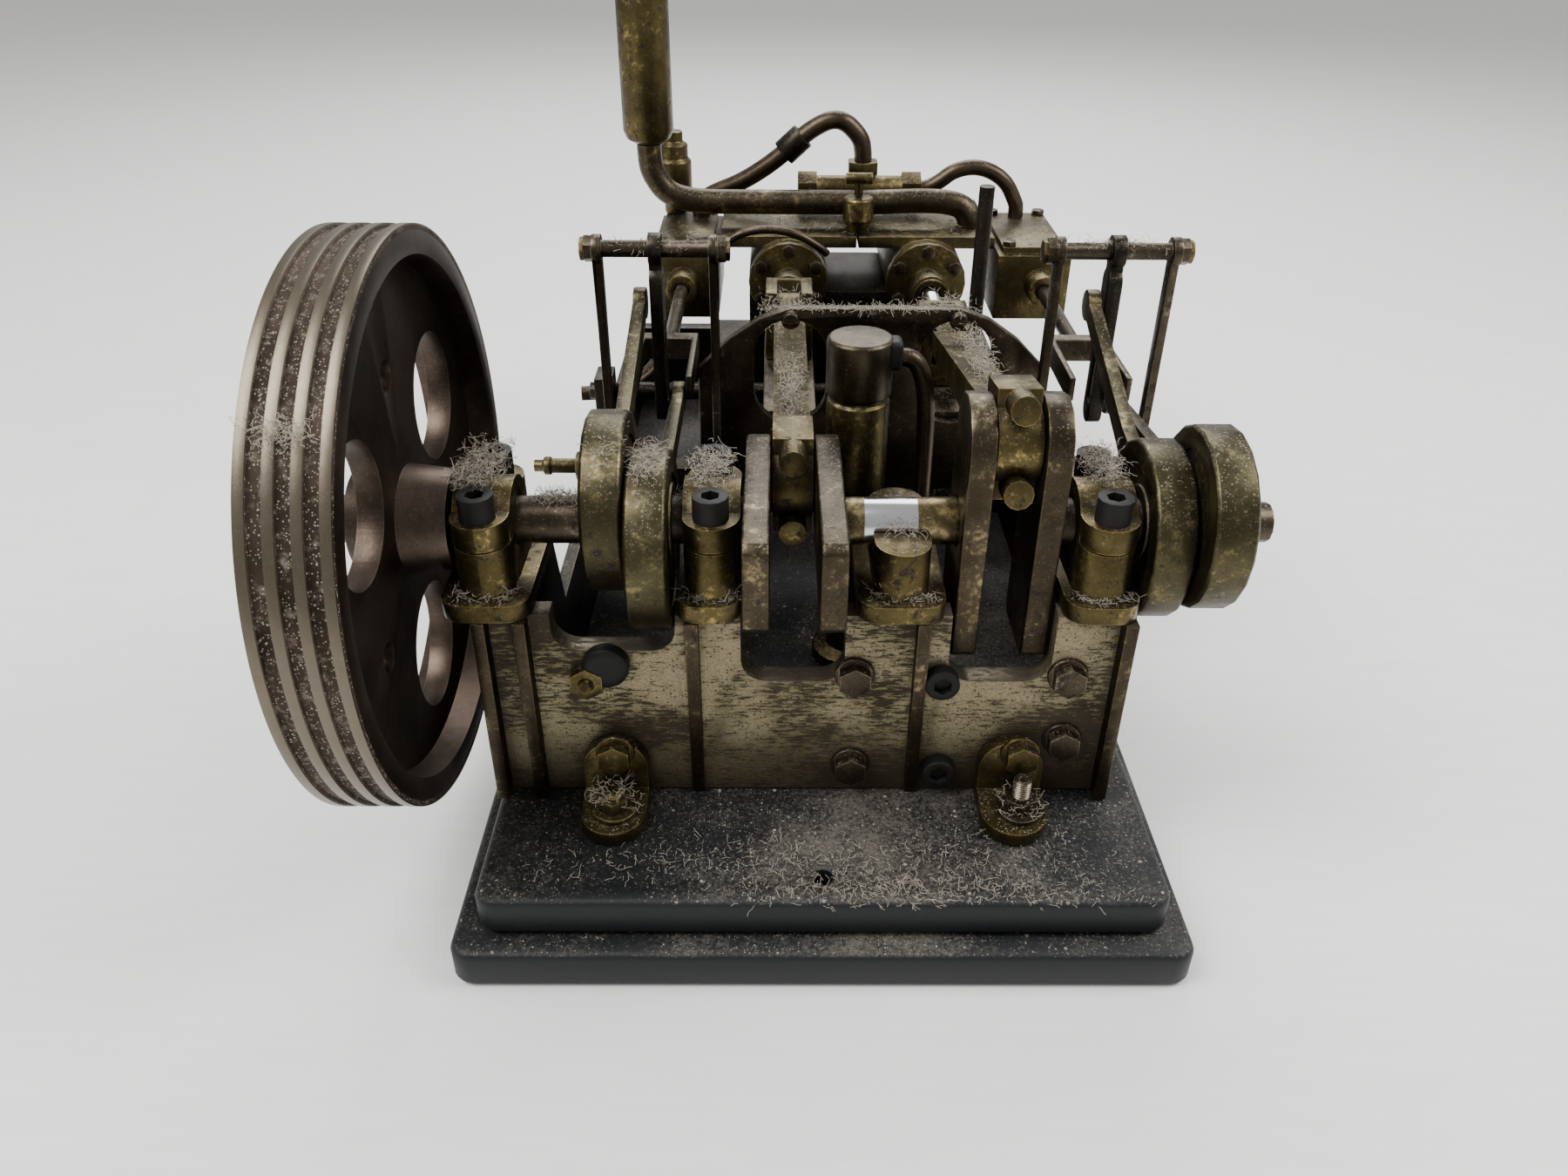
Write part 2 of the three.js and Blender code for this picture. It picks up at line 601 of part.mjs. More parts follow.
// ---- Flywheel ----
function flywheel() {
  const rim = FLYWHEEL_DIAMETER / 2;
  const left = FLYWHEEL_BACK - FLYWHEEL_WIDTH;
  const land = (FLYWHEEL_WIDTH - GROOVES * GROOVE_WIDTH) / (GROOVES + 1);
  const tread = [];
  for (let i = 0; i < GROOVES; i++) {
    const start = left + land + i * (land + GROOVE_WIDTH);
    tread.push(
      [rim, start],
      [rim - GROOVE_DEPTH, start + 0.3],
      [rim - GROOVE_DEPTH, start + GROOVE_WIDTH - 0.3],
      [rim, start + GROOVE_WIDTH],
    );
  }
  const inside = rim - RIM_DEPTH;
  const webLeft = (left + FLYWHEEL_BACK - FLYWHEEL_WEB) / 2;
  const webRight = webLeft + FLYWHEEL_WEB;
  const hub = FLYWHEEL_HUB / 2;
  const boreRadius = SHAFT_DIAMETER / 2 + GAP;
  const profile = [
    [boreRadius, left],
    [hub, left],
    [hub + 1, webLeft],
    [inside - 1, webLeft],
    [inside, left],
    [rim, left],
    ...tread,
    [rim, FLYWHEEL_BACK],
    [inside, FLYWHEEL_BACK],
    [inside - 1, webRight],
    [hub + 1, webRight],
    [hub, FLYWHEEL_BACK + HUB_PROUD],
    [boreRadius, FLYWHEEL_BACK + HUB_PROUD],
    [boreRadius, left],
  ];
  const bored = (diameter, first) =>
    Array.from({ length: FLYWHEEL_HOLES }, (_, i) => {
      const angle = first + (i * 2 * Math.PI) / FLYWHEEL_HOLES;
      const centre = [FLYWHEEL_HOLE_CIRCLE * Math.cos(angle), FLYWHEEL_HOLE_CIRCLE * Math.sin(angle)];
      return round("x", diameter / 2, [left - 1, FLYWHEEL_BACK + 1], centre, ROUND);
    });
  const straightDown = -Math.PI / 2;
  const holes = bored(FLYWHEEL_HOLE, straightDown);
  const balanceHoles = bored(FLYWHEEL_BALANCE_HOLE, -straightDown);
  return cut(turned("x", profile, [0, 0], RIM_SIDES), ...holes, ...balanceHoles);
}
add(engine, "flywheel", flywheel(), BROWN_STEEL);

// ---- Eccentrics ----
// Each side has an outer sheave that stands up and back, and an inner one opposite to it.
const STRAP_BORE = SHEAVE_RADIUS + RUN;

const eccentricCentre = (turn) => [ECCENTRICITY * Math.cos(turn), ECCENTRICITY * Math.sin(turn)];

function strapSpan(gear, hand) {
  const [near, far] = [hand * STRAP_GAP, hand * (STRAP_GAP + STRAP_WIDTH)];
  return [gear + Math.min(near, far), gear + Math.max(near, far)];
}

function sheaves(gear, turn) {
  const discs = [
    [-1, turn],
    [1, turn + Math.PI],
  ].map(([hand, angle]) => {
    const [from, to] = strapSpan(gear, hand);
    return round("x", SHEAVE_RADIUS, [from + SHEAVE_INSET, to - SHEAVE_INSET], eccentricCentre(angle), ROUND);
  });
  const hub = round("x", 7.5, [strapSpan(gear, -1)[0], strapSpan(gear, 1)[1]], [0, 0], ROUND);
  const bore = round("x", SHAFT_DIAMETER / 2 + GAP, [gear - 20, gear + 20], [0, 0], ROUND);
  return cut(join(hub, ...discs), bore);
}

function strap(gear, hand, turn, rodEnd) {
  const [from, to] = strapSpan(gear, hand);
  const centre = eccentricCentre(turn);
  const ring = turned(
    "x",
    [
      [STRAP_BORE, from],
      [STRAP_RADIUS - 0.6, from],
      [STRAP_RADIUS, from + 0.6],
      [STRAP_RADIUS, to - 0.6],
      [STRAP_RADIUS - 0.6, to],
      [STRAP_BORE, to],
      [STRAP_BORE, from],
    ],
    centre,
  );
  const [dy, dz] = [GEAR_Y - centre[0], rodEnd - centre[1]];
  const length = Math.hypot(dy, dz);
  const side = outline([
    [STRAP_RADIUS - 2.5, -4.5],
    [STRAP_RADIUS + 8, -2.8],
    [length, -2.2],
    [length, 2.2],
    [STRAP_RADIUS + 8, 2.8],
    [STRAP_RADIUS - 2.5, 4.5],
  ]);
  const plane = gear + hand * ECCENTRIC_ROD_OFFSET;
  const span = [plane - ECCENTRIC_ROD_THICKNESS / 2, plane + ECCENTRIC_ROD_THICKNESS / 2];
  const rod = plate("x", side, span)
    .rotate([THREE.MathUtils.radToDeg(Math.atan2(dz, dy)), 0, 0])
    .translate([0, ...centre]);
  return join(ring, rod, round("x", 3.8, span, [GEAR_Y, rodEnd], SMALL_ROUND));
}

const LEFT_TURN = Math.PI / 4;
const RIGHT_TURN = LEFT_TURN + Math.PI / 2;
add(engine, "eccentric_sheave_left", sheaves(LEFT_GEAR, LEFT_TURN), GREEN_BRASS);
add(engine, "eccentric_sheave_right", sheaves(RIGHT_GEAR, RIGHT_TURN + Math.PI), GREEN_BRASS);
add(engine, "eccentric_strap_left_outer", strap(LEFT_GEAR, -1, LEFT_TURN, UPPER_ROD_END), GREEN_BRASS);
const leftInner = strap(LEFT_GEAR, 1, LEFT_TURN + Math.PI, LOWER_ROD_END);
const rightInner = strap(RIGHT_GEAR, -1, RIGHT_TURN + Math.PI, UPPER_ROD_END);
add(engine, "eccentric_strap_left_inner", leftInner, GREEN_BRASS);
add(engine, "eccentric_strap_right_inner", rightInner, GREEN_BRASS);
add(engine, "eccentric_strap_right_outer", strap(RIGHT_GEAR, 1, RIGHT_TURN, LOWER_ROD_END), GREEN_BRASS);

// ---- Connecting rods, each with its crank pin in the big end ----
const GUDGEON_BORE = GUDGEON_DIAMETER / 2 + RUN;

function connectingRod(x, gudgeonY, swing) {
  const half = ROD_WIDTH / 2;
  const bigEnd = -ROD_LENGTH;
  const bar = outline([
    [bigEnd + 6, -ROD_HEIGHT / 2],
    [-CROSSHEAD_FRONT - 5, -ROD_TIP_HEIGHT / 2],
    [-CROSSHEAD_FRONT - 5, ROD_TIP_HEIGHT / 2],
    [bigEnd + 6, ROD_HEIGHT / 2],
  ]);
  const tip = [SMALL_END_WIDTH / -2, SMALL_END_WIDTH / 2];
  const bolts = [-1, 1].map((side) => round("y", 2.9, [bigEnd - 9, bigEnd + 8], [0, side * 8], SMALL_ROUND));
  const rod = join(
    plate("x", bar, [-half, half]),
    block(tip, [-CROSSHEAD_FRONT - 6, 0], [-ROD_TIP_HEIGHT / 2, ROD_TIP_HEIGHT / 2]),
    round("x", SMALL_END_RADIUS, tip, [0, 0]),
    block([-half, half], [bigEnd - 3, bigEnd + 8.5], [-10.8, 10.8]),
    round("x", 7.8, [-half, half], [bigEnd, 0], ROUND),
    ...bolts,
    round("x", CRANK_PIN_DIAMETER / 2, [GAP - WEB_GAP / 2, WEB_GAP / 2 - GAP], [bigEnd, 0], ROUND),
  );
  return cut(rod, round("x", GUDGEON_BORE, [-half - 1, half + 1], [0, 0]))
    .rotate([swing, 0, 0])
    .translate([x, gudgeonY, 0]);
}

// ---- Crossheads, piston rods and pistons ----
function crosshead(x, gudgeonY) {
  const half = CROSSHEAD_WIDTH / 2;
  const slot = SMALL_END_WIDTH / 2 + RUN;
  const body = block([-half, half], [-CROSSHEAD_FRONT, CROSSHEAD_BACK], [SLIPPER_BOTTOM, 7]);
  const fork = block([-slot, slot], [-CROSSHEAD_FRONT - 1, SMALL_END_RADIUS + 0.8], [-6.5, 8]);
  const gudgeon = round("x", GUDGEON_DIAMETER / 2, [-half, half], [0, 0]);
  return join(cut(body, fork), gudgeon).translate([x, gudgeonY, 0]);
}

const GUDGEON_BACK = ROD_LENGTH + CRANK_RADIUS;
const PISTON_FRONT = BARREL_BACK - BACK_WALL - 1 - PISTON_THICKNESS - GUDGEON_BACK;

function pistonRod(x, gudgeonY) {
  const rod = round("y", PISTON_ROD_DIAMETER / 2, [CROSSHEAD_BACK + GAP, PISTON_FRONT + 1], [0, 0], 20);
  const pistonBack = PISTON_FRONT + PISTON_THICKNESS;
  const piston = round("y", BORE_RADIUS - RUN, [PISTON_FRONT, pistonBack], [0, 0], ROUND);
  return join(rod, piston).translate([x, gudgeonY, 0]);
}

const GUDGEON_MIDDLE = Math.sqrt(ROD_LENGTH ** 2 - CRANK_RADIUS ** 2);
const SWING = -THREE.MathUtils.radToDeg(Math.asin(CRANK_RADIUS / ROD_LENGTH));
for (const [side, x, gudgeonY, swing] of [
  ["left", LEFT_CRANK, GUDGEON_BACK, 0],
  ["right", RIGHT_CRANK, GUDGEON_MIDDLE, SWING],
]) {
  add(engine, `connecting_rod_${side}`, connectingRod(x, gudgeonY, swing), OLD_BRASS);
  add(engine, `crosshead_${side}`, crosshead(x, gudgeonY), OLD_BRASS);
  add(engine, `piston_rod_${side}`, pistonRod(x, gudgeonY), BRIGHT_STEEL);
}

// ---- Valve gear: hangers, expansion links and valve spindles ----

function linkHanger(gear) {
  const bars = [-1, 1].map((hand) => {
    const span = [hand * HANGER_SPREAD - 1, hand * HANGER_SPREAD + 1];
    const bar = join(
      block(span, [-1.8, 1.8], [HANGER_PIVOT, GEAR_TOP]),
      round("x", 4, span, [0, HANGER_PIVOT], SMALL_ROUND),
      round("x", 3.4, span, [0, GEAR_TOP], SMALL_ROUND),
    );
    const middle = hand * HANGER_SPREAD;
    return cut(bar, round("x", 2 + RUN, [middle - 2, middle + 2], [0, HANGER_PIVOT]));
  });
  const end = HANGER_SPREAD + 3.5;
  return join(
    ...bars,
    round("x", CROSS_ROD_RADIUS, [-end, end], [0, GEAR_TOP]),
    hexagon("x", 5.5, [-end + 0.5, -end + 2.9], [0, GEAR_TOP]),
    hexagon("x", 5.5, [end - 2.9, end - 0.5], [0, GEAR_TOP]),
  ).translate([gear, GEAR_Y, 0]);
}

function expansionLink(gear) {
  const span = [-LINK_THICKNESS / 2, LINK_THICKNESS / 2];
  const bottom = -10;
  const body = roundedRectangle([-3.5, 3.5], [bottom, GEAR_TOP - 4], 3.4);
  const slot = roundedRectangle([-1.4, 1.4], [bottom + 5, UPPER_ROD_END - 4], 1.39);
  return cut(
    join(
      plate("x", body, span),
      block(span, [-2, 2], [GEAR_TOP - 8, GEAR_TOP]),
      round("x", 3.8, span, [0, GEAR_TOP], SMALL_ROUND),
    ),
    plate("x", slot, [-5, 5]),
    round("x", CROSS_ROD_RADIUS + RUN, [-5, 5], [0, GEAR_TOP]),
  ).translate([gear, GEAR_Y, 0]);
}

function valveSpindle(gear) {
  const inner = ECCENTRIC_ROD_OFFSET + ECCENTRIC_ROD_THICKNESS / 2 + 0.6;
  const outer = inner + 1.5;
  const back = GEAR_Y + 26;
  const yoke = cut(
    block([-outer, outer], [GEAR_Y - 4, back], [-3, 3]),
    block([-inner, inner], [GEAR_Y - 5, back - 4], [-4, 4]),
  );
  const rod = round("y", SPINDLE_DIAMETER / 2, [back - 1, CHEST_BACK - 14], [0, 0]);
  return join(yoke, rod).translate([gear, 0, 0]);
}

for (const [side, gear] of [
  ["left", LEFT_GEAR],
  ["right", RIGHT_GEAR],
]) {
  add(engine, `link_hanger_${side}`, linkHanger(gear), BROWN_STEEL);
  add(engine, `expansion_link_${side}`, expansionLink(gear), DARK_STEEL);
  add(engine, `valve_spindle_${side}`, valveSpindle(gear), BROWN_STEEL);
}

// ---- Reversing shaft with its lever ----
function reversingShaft() {
  const leverX = 46.5;
  const leverTop = 36;
  const arms = [RAILS[0] + 7, RAILS[3] - 7].map((x) =>
    block([x - 1.5, x + 1.5], [REVERSING.y - 18, REVERSING.y], [REVERSING.z - 2.5, REVERSING.z + 2.5]),
  );
  const centre = [REVERSING.y, REVERSING.z];
  return join(
    round("x", REVERSING.radius, [RAILS[0] - 4.5, RAILS[3] + 4.5], centre),
    round("x", 4.5, [leverX - 3, leverX + 3], centre),
    round("z", 2.1, [REVERSING.z, leverTop], [leverX, REVERSING.y]),
    ...arms,
  );
}
add(engine, "reversing_shaft", reversingShaft(), DARK_STEEL);

// ---- Oil pump between the cranks ----
function oilPump() {
  const { radius: r, top } = PUMP;
  const profile = [
    [0, FOOT],
    [r + 2, FOOT],
    [r + 2, FOOT + 3],
    [r - 1.5, FOOT + 4],
    [r - 1.5, -12],
    [r, -11],
    [r, 9.5],
    [r - 0.7, 9.9],
    [r - 0.7, 10.9],
    [r + 0.3, 11.3],
    [r + 0.3, top - 0.6],
    [r - 0.4, top],
    [0, top],
  ];
  return turned("z", profile, [PUMP.x, PUMP.y]);
}
add(engine, "oil_pump", oilPump(), OLD_BRASS);

const PUMP_PIPE = [
  [PUMP.x + PUMP.radius + 0.8, PUMP.y, 19],
  [PUMP.x + 11.5, PUMP.y, 20],
  [PUMP.x + 14.5, PUMP.y, 14],
  [PUMP.x + 15.5, PUMP.y, 4],
  [PUMP.x + 15.5, PUMP.y, -20],
  [PUMP.x + 15.5, PUMP.y, FOOT],
];
add(engine, "oil_pipe", pipe(PUMP_PIPE, 4, 8), COPPER);

// ---- Steam and exhaust pipes ----
const RUN_Z = CYLINDER_TOP + 6.9;

const EXHAUST_ROUTE = [
  [SILENCER_X, PIPE_Y, SILENCER_BOTTOM - GAP],
  [SILENCER_X + 0.5, PIPE_Y, 30],
  [SILENCER_X + 5, PIPE_Y, 23],
  [SILENCER_X + 14, PIPE_Y, RUN_Z],
  [0, PIPE_Y, RUN_Z],
  [EXHAUST_END - 13, PIPE_Y, RUN_Z + 1],
  [EXHAUST_END - 2.5, PIPE_Y, RUN_Z - 1.5],
  [EXHAUST_END, PIPE_Y, CYLINDER_TOP + 2],
  [EXHAUST_END, PIPE_Y, CYLINDER_TOP + GAP],
];
add(engine, "exhaust_pipe", pipe(EXHAUST_ROUTE, EXHAUST_DIAMETER), BROWN_STEEL);

function silencer() {
  const r = SILENCER_DIAMETER / 2;
  const profile = [
    [0, SILENCER_BOTTOM],
    [EXHAUST_DIAMETER / 2, SILENCER_BOTTOM],
    [r - 1, SILENCER_BOTTOM + 1.5],
    [r, SILENCER_BOTTOM + 4],
    [r, SILENCER_TOP],
    [r - 1.2, SILENCER_TOP],
    [r - 1.2, SILENCER_BOTTOM + 6],
    [0, SILENCER_BOTTOM + 6],
  ];
  return turned("z", profile, [SILENCER_X, PIPE_Y]);
}
add(engine, "silencer", silencer(), OLD_BRASS);

function stopValve() {
  const { left, right, union, z, radius } = VALVE;
  const centre = [STEAM_Y, z];
  const nutLength = 6;
  return join(
    round("x", radius, [left + 1, right - 1], centre, SMALL_ROUND),
    hexagon("x", 9, [left, left + nutLength], centre),
    hexagon("x", 9, [right - nutLength, right], centre),
    round("z", radius - 0.8, [CYLINDER_TOP + GAP, z + 5], [union, STEAM_Y]),
    hexagon("z", 9, [z + 4.6, z + VALVE_NECK], [union, STEAM_Y]),
  );
}
add(engine, "stop_valve", stopValve(), OLD_BRASS);

const UNION_TOP = VALVE.z + VALVE_NECK + GAP;
const CHEST_LID = CHEST_TOP + 2 + GAP;
const STEAM_ROUTE = [
  [VALVE.union, STEAM_Y, UNION_TOP],
  [VALVE.union, STEAM_Y, UNION_TOP + 2],
  [VALVE.union - 1, STEAM_Y, UNION_TOP + 7],
  [VALVE.union - 8, STEAM_Y, UNION_TOP + 13],
  [VALVE.union - 17, STEAM_Y, UNION_TOP + 9],
  [VALVE.union - 27, STEAM_Y, UNION_TOP],
  [VALVE.union - 38, STEAM_Y, UNION_TOP - 7],
  [VALVE.union - 47.5, STEAM_Y, UNION_TOP - 10.5],
  [VALVE.union - 51.5, STEAM_Y, CHEST_LID + 4],
  [VALVE.union - 51.5, STEAM_Y, CHEST_LID],
];
add(engine, "steam_pipe", pipe(STEAM_ROUTE, STEAM_DIAMETER), COPPER);

const BRANCH_ROUTE = [
  [VALVE.right + GAP, STEAM_Y, VALVE.z],
  [VALVE.right + 2, STEAM_Y, VALVE.z],
  [VALVE.right + 6, STEAM_Y, VALVE.z + 2],
  [VALVE.right + 11, STEAM_Y, VALVE.z + 6],
  [VALVE.right + 19, STEAM_Y, VALVE.z + 7],
  [VALVE.right + 27, STEAM_Y, VALVE.z + 3],
  [VALVE.right + 31, STEAM_Y, VALVE.z - 4],
  [VALVE.right + 31.5, STEAM_Y, CHEST_LID + 3],
  [VALVE.right + 31.5, STEAM_Y, CHEST_LID],
];
add(engine, "steam_branch", pipe(BRANCH_ROUTE, STEAM_DIAMETER - 0.8), COPPER);

// ---- Lubricators ----
function lubricator() {
  const r = 5.5;
  const top = CHEST_LID + 25;
  const profile = [
    [0, CHEST_LID],
    [r - 2, CHEST_LID],
    [r - 2, CHEST_LID + 3],
    [r, CHEST_LID + 4],
    [r, CHEST_LID + 16],
    [r - 1, CHEST_LID + 17],
    [r - 1, top - 4],
    [r - 2.5, top - 3],
    [r - 2.5, top],
    [0, top],
  ];
  return turned("z", profile, [-42.5, CHEST_BACK - 4]);
}
add(engine, "displacement_lubricator", lubricator(), OLD_BRASS);

function oilCup() {
  const { base } = OIL_CUP;
  const profile = [
    [0, base],
    [2.6, base],
    [3.2, base + 2],
    [4.6, base + 4],
    [4.6, base + 10],
    [4, base + 10.6],
    [0, base + 10.6],
  ];
  return turned("z", profile, [OIL_CUP.x, OIL_CUP.y], 24);
}
add(engine, "oil_cup", oilCup(), OLD_BRASS);

function oilCupHandle() {
  const base = OIL_CUP.base + 10.6 + GAP;
  return join(
    round("z", 1.3, [base, base + 5], [OIL_CUP.x, OIL_CUP.y]),
    round("x", 1.7, [OIL_CUP.x - 4, OIL_CUP.x + 4], [OIL_CUP.y, base + 5]),
  );
}
add(engine, "oil_cup_handle", oilCupHandle(), OLD_BRASS);

export default model;
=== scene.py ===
"""A twin-cylinder model steam engine: finished pieces, finishes, stage and camera round its fixed frame."""

import json
import math
import random

import bpy
from bpy.props import FloatProperty, FloatVectorProperty, IntProperty, PointerProperty
from mathutils import Matrix, Vector

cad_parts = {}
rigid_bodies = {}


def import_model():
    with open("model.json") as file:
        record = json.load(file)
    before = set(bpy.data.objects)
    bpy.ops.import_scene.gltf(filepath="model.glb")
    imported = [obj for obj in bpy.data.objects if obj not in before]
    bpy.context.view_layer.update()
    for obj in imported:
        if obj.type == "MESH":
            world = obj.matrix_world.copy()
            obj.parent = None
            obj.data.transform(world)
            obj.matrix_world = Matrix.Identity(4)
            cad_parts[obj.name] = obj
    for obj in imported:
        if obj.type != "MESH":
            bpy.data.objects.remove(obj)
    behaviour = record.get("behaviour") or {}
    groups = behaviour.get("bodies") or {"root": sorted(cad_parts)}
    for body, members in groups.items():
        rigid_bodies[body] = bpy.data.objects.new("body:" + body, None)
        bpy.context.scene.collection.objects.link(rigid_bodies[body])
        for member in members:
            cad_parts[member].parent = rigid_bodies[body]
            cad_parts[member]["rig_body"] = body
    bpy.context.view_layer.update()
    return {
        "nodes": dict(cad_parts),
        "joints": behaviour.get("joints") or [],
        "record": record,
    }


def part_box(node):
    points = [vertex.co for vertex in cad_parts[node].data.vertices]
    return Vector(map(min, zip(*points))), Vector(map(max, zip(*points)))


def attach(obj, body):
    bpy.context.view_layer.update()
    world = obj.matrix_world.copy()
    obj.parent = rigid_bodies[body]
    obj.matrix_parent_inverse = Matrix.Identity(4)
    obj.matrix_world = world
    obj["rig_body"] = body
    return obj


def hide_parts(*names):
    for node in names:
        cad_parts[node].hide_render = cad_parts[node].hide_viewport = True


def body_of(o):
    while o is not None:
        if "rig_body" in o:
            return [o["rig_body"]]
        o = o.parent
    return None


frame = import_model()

bl_info = {
    "name": "Model Steam Engine",
    "version": (1, 0, 0),
    "blender": (4, 5, 0),
    "location": "View3D > Sidebar > Engine",
    "description": "Finished pieces of a twin-cylinder model steam engine",
    "category": "Object",
}

MM = 0.001
WELD = 2e-6
SLOT_OF = {s["node"]: s["material_slot"] for s in frame["record"]["subparts"]}
JOINTS = {j["name"]: j for j in frame["joints"]}
SHAFT = Vector(JOINTS["crankshaft_spin"]["pos_m"])  # middle of the crankshaft axis

# The camera's turn and roll, in degrees
HEADING = -0.46
ROLL = 0.45

# How a piece made along Z is turned to lie along each axis
TURNS = {
    "x": (0, math.pi / 2, 0), "-x": (0, -math.pi / 2, 0), "z": (0, 0, 0),
    "y": (-math.pi / 2, 0, 0), "-y": (math.pi / 2, 0, 0),
}

# Frame pieces with softened edges: finish and edge width in millimetres
SOFTENED = {
    "plinth_lower": ("black_paint", 0.4), "plinth_upper": ("black_paint", 0.5),
    "front_plate": ("pitted_plate", 0.25),
    "shaft_middle": ("journal", 0.2), "crank_web_left_outer": ("bronze", 0.5),
    "crank_web_left_inner": ("bronze", 0.5), "crank_web_right_outer": ("bronze", 0.5),
    "crank_web_right_inner": ("bronze", 0.5), "motion_plate": ("brown_steel", 0.3),
}

# Frame pieces that a new piece stands for
FRESH = ("flywheel", "oil_pipe", "exhaust_pipe", "steam_pipe", "steam_branch")

# The flywheel, in millimetres: across its rim, its bore and hub, and its rings of three holes
WHEEL_WIDTH = 15
LAND_WIDTH = 1.8
GROOVE_WIDTH = 2.6
GROOVE_DEPTH = 0.85
RIM_DEPTH = 5.5
WEB_INSET = 5
HUB_RADIUS = 10
WHEEL_BORE = 5.05
HOLE_CIRCLE = 30
WHEEL_HOLES = ((26.4, -90), (6, 90))  # diameter, and the first hole's angle in degrees

# Pipes: node, places along it in millimetres (y and z from the crankshaft's axis), diameter, finish
PIPES = (
    ("oil_pipe", 4, "copper_pipe", (
        (16.3, 38, 19), (20, 38, 20), (23, 38, 14), (24, 38, 4), (24, 38, -20), (24, 38, -59.4))),
    ("exhaust_pipe", 7.4, "bronze", (
        (-48, 165, 36.2), (-48, 165, 33), (-47.5, 165, 28), (-43, 165, 21.5), (-34, 165, 19.4),
        (-20, 165, 19.4),
        (0, 165, 19.4), (20, 165, 19.4), (37, 165, 20.2), (46.5, 165, 19.2), (50, 165, 15.5),
        (50, 165, 12.8))),
    ("steam_pipe", 5.6, "copper_pipe", (
        (17.5, 182, 28.3), (17.5, 182, 30.3), (16.5, 182, 35.3), (9.5, 182, 41.3), (0.5, 182, 37.3),
        (-9.5, 182, 28.3),
        (-20.5, 182, 21.3), (-30, 182, 17.8), (-34, 182, 14.8), (-34, 182, 10.8))),
    ("steam_branch", 4.8, "copper_pipe", (
        (36.3, 182, 19.5), (38, 182, 19.5), (42, 182, 21.5), (47, 182, 25.5), (55, 182, 26.5),
        (63, 182, 22.5),
        (67, 182, 15.5), (67.5, 182, 13.8), (67.5, 182, 10.8))),
)

# Routes of the small pipes, in millimetres from the crankshaft's middle
DRAIN_ROUTE = (
    (-28, 141, 10), (-24, 140, 15.5), (-14, 140, 18.5), (-4, 140, 17), (4, 141, 12), (5, 142, 10.5),
)
STUB_ROUTE = (
    (-44, 155, -11.4), (-44, 153, -16), (-46, 146, -25), (-53, 137, -29),
    (-60, 132, -29.5), (-69, 131, -29.5),
)

# Screws, bolts and nuts
FASTENERS = (
    # kind, body, finish, axis, places
    ("bolt", "engine_frame", "brown_steel", "-y", (
        (6.4, -12.6, -28.5), (49.6, -12.6, -28.5), (50.5, -12.6, -45), (6.3, -12.6, -52))),
    ("socket", "engine_frame", "black_screw", "-y", ((24.1, -12.6, -29.6), (25, -12.6, -53))),
    ("dished", "engine_frame", "old_brass", "-y", ((-47.4, -12.6, -28.9),)),
    ("bolt", "engine_frame", "old_brass", "-y", ((-42.8, -15.9, -46.1), (41.4, -15.9, -46.1))),
    ("nut", "engine_frame", "old_brass", "z", ((-42.8, -22.4, -56.2),)),
    ("tall_nut", "engine_frame", "brown_steel", "z", ((41.2, -22.4, -56.2),)),
    ("slotted", "engine_frame", "brown_steel", "-y", ((-6.1, 77.9, 13.2), (35.7, 77.9, 13.2))),
)

# Where dust clings: body, centre in millimetres, half-sizes, share of the strands
DUST = (
    ("engine_frame", (-65.9, 0, 12.6), (6, 10, 2.2), 1.2),
    ("engine_frame", (-21.9, 2, 11), (5, 9, 1.6), 0.8),
    ("engine_frame", (54.2, 3, 11.6), (5, 9, 2), 1.0),
    ("engine_frame", (15, -2, 2.2), (5, 9, 0.8), 0.4),
    ("engine_frame", (-65.9, -12, -9.6), (7, 3, 1), 0.6),
    ("engine_frame", (-21.9, -12, -9.6), (6.5, 3, 0.8), 0.5),
    ("engine_frame", (15, -12, -9.6), (7, 3, 0.8), 0.5),
    ("engine_frame", (54.2, -12, -9.6), (6.5, 3, 0.8), 0.5),
    ("engine_frame", (-42.8, -22, -52), (6, 5, 2), 0.35),
    ("engine_frame", (41.4, -22, -53.4), (6, 5, 1.2), 0.3),
    ("engine_frame", (14, 78, 16.4), (30, 1.6, 0.6), 0.8),
    ("engine_frame", (-6, 100, 8), (9, 14, 3), 1.0),
    ("engine_frame", (36, 100, 8), (9, 14, 3), 1.0),
    ("engine_frame", (15, 170, 13.6), (34, 18, 0.8), 1.2),
    ("engine_frame", (0, -34, -59), (64, 9, 0.3), 1.0),
    ("engine_frame", (20, -42, -59), (45, 5, 0.3), 1.0),
    ("strap_left_outer", (-42, 0, 18.2), (3.8, 9, 0.9), 0.9),
    ("strap_left_inner", (-34, -3, 15), (3.8, 9, 0.9), 0.7),
    ("crankshaft", (-26, 0, 5.2), (4, 2.5, 0.8), 0.5),
    ("crankshaft", (-70, 0, 9.4), (3, 4, 1.4), 0.9),
    ("crankshaft", (-52, 0, 5.2), (6, 2.5, 0.9), 0.7),
    ("rod_left", (-6.1, 50, 6.4), (3.6, 26, 1), 1.1),
    ("rod_right", (35.7, 45, 17), (3.6, 22, 1.6), 1.1),
    ("hanger_left", (-38, 70, 34), (13, 2, 1), 0.5),
    ("hanger_right", (70, 70, 34.6), (13, 2, 1), 0.5),
    ("crankshaft", (-84, -42, 38), (6.5, 3, 3), 0.4),
)


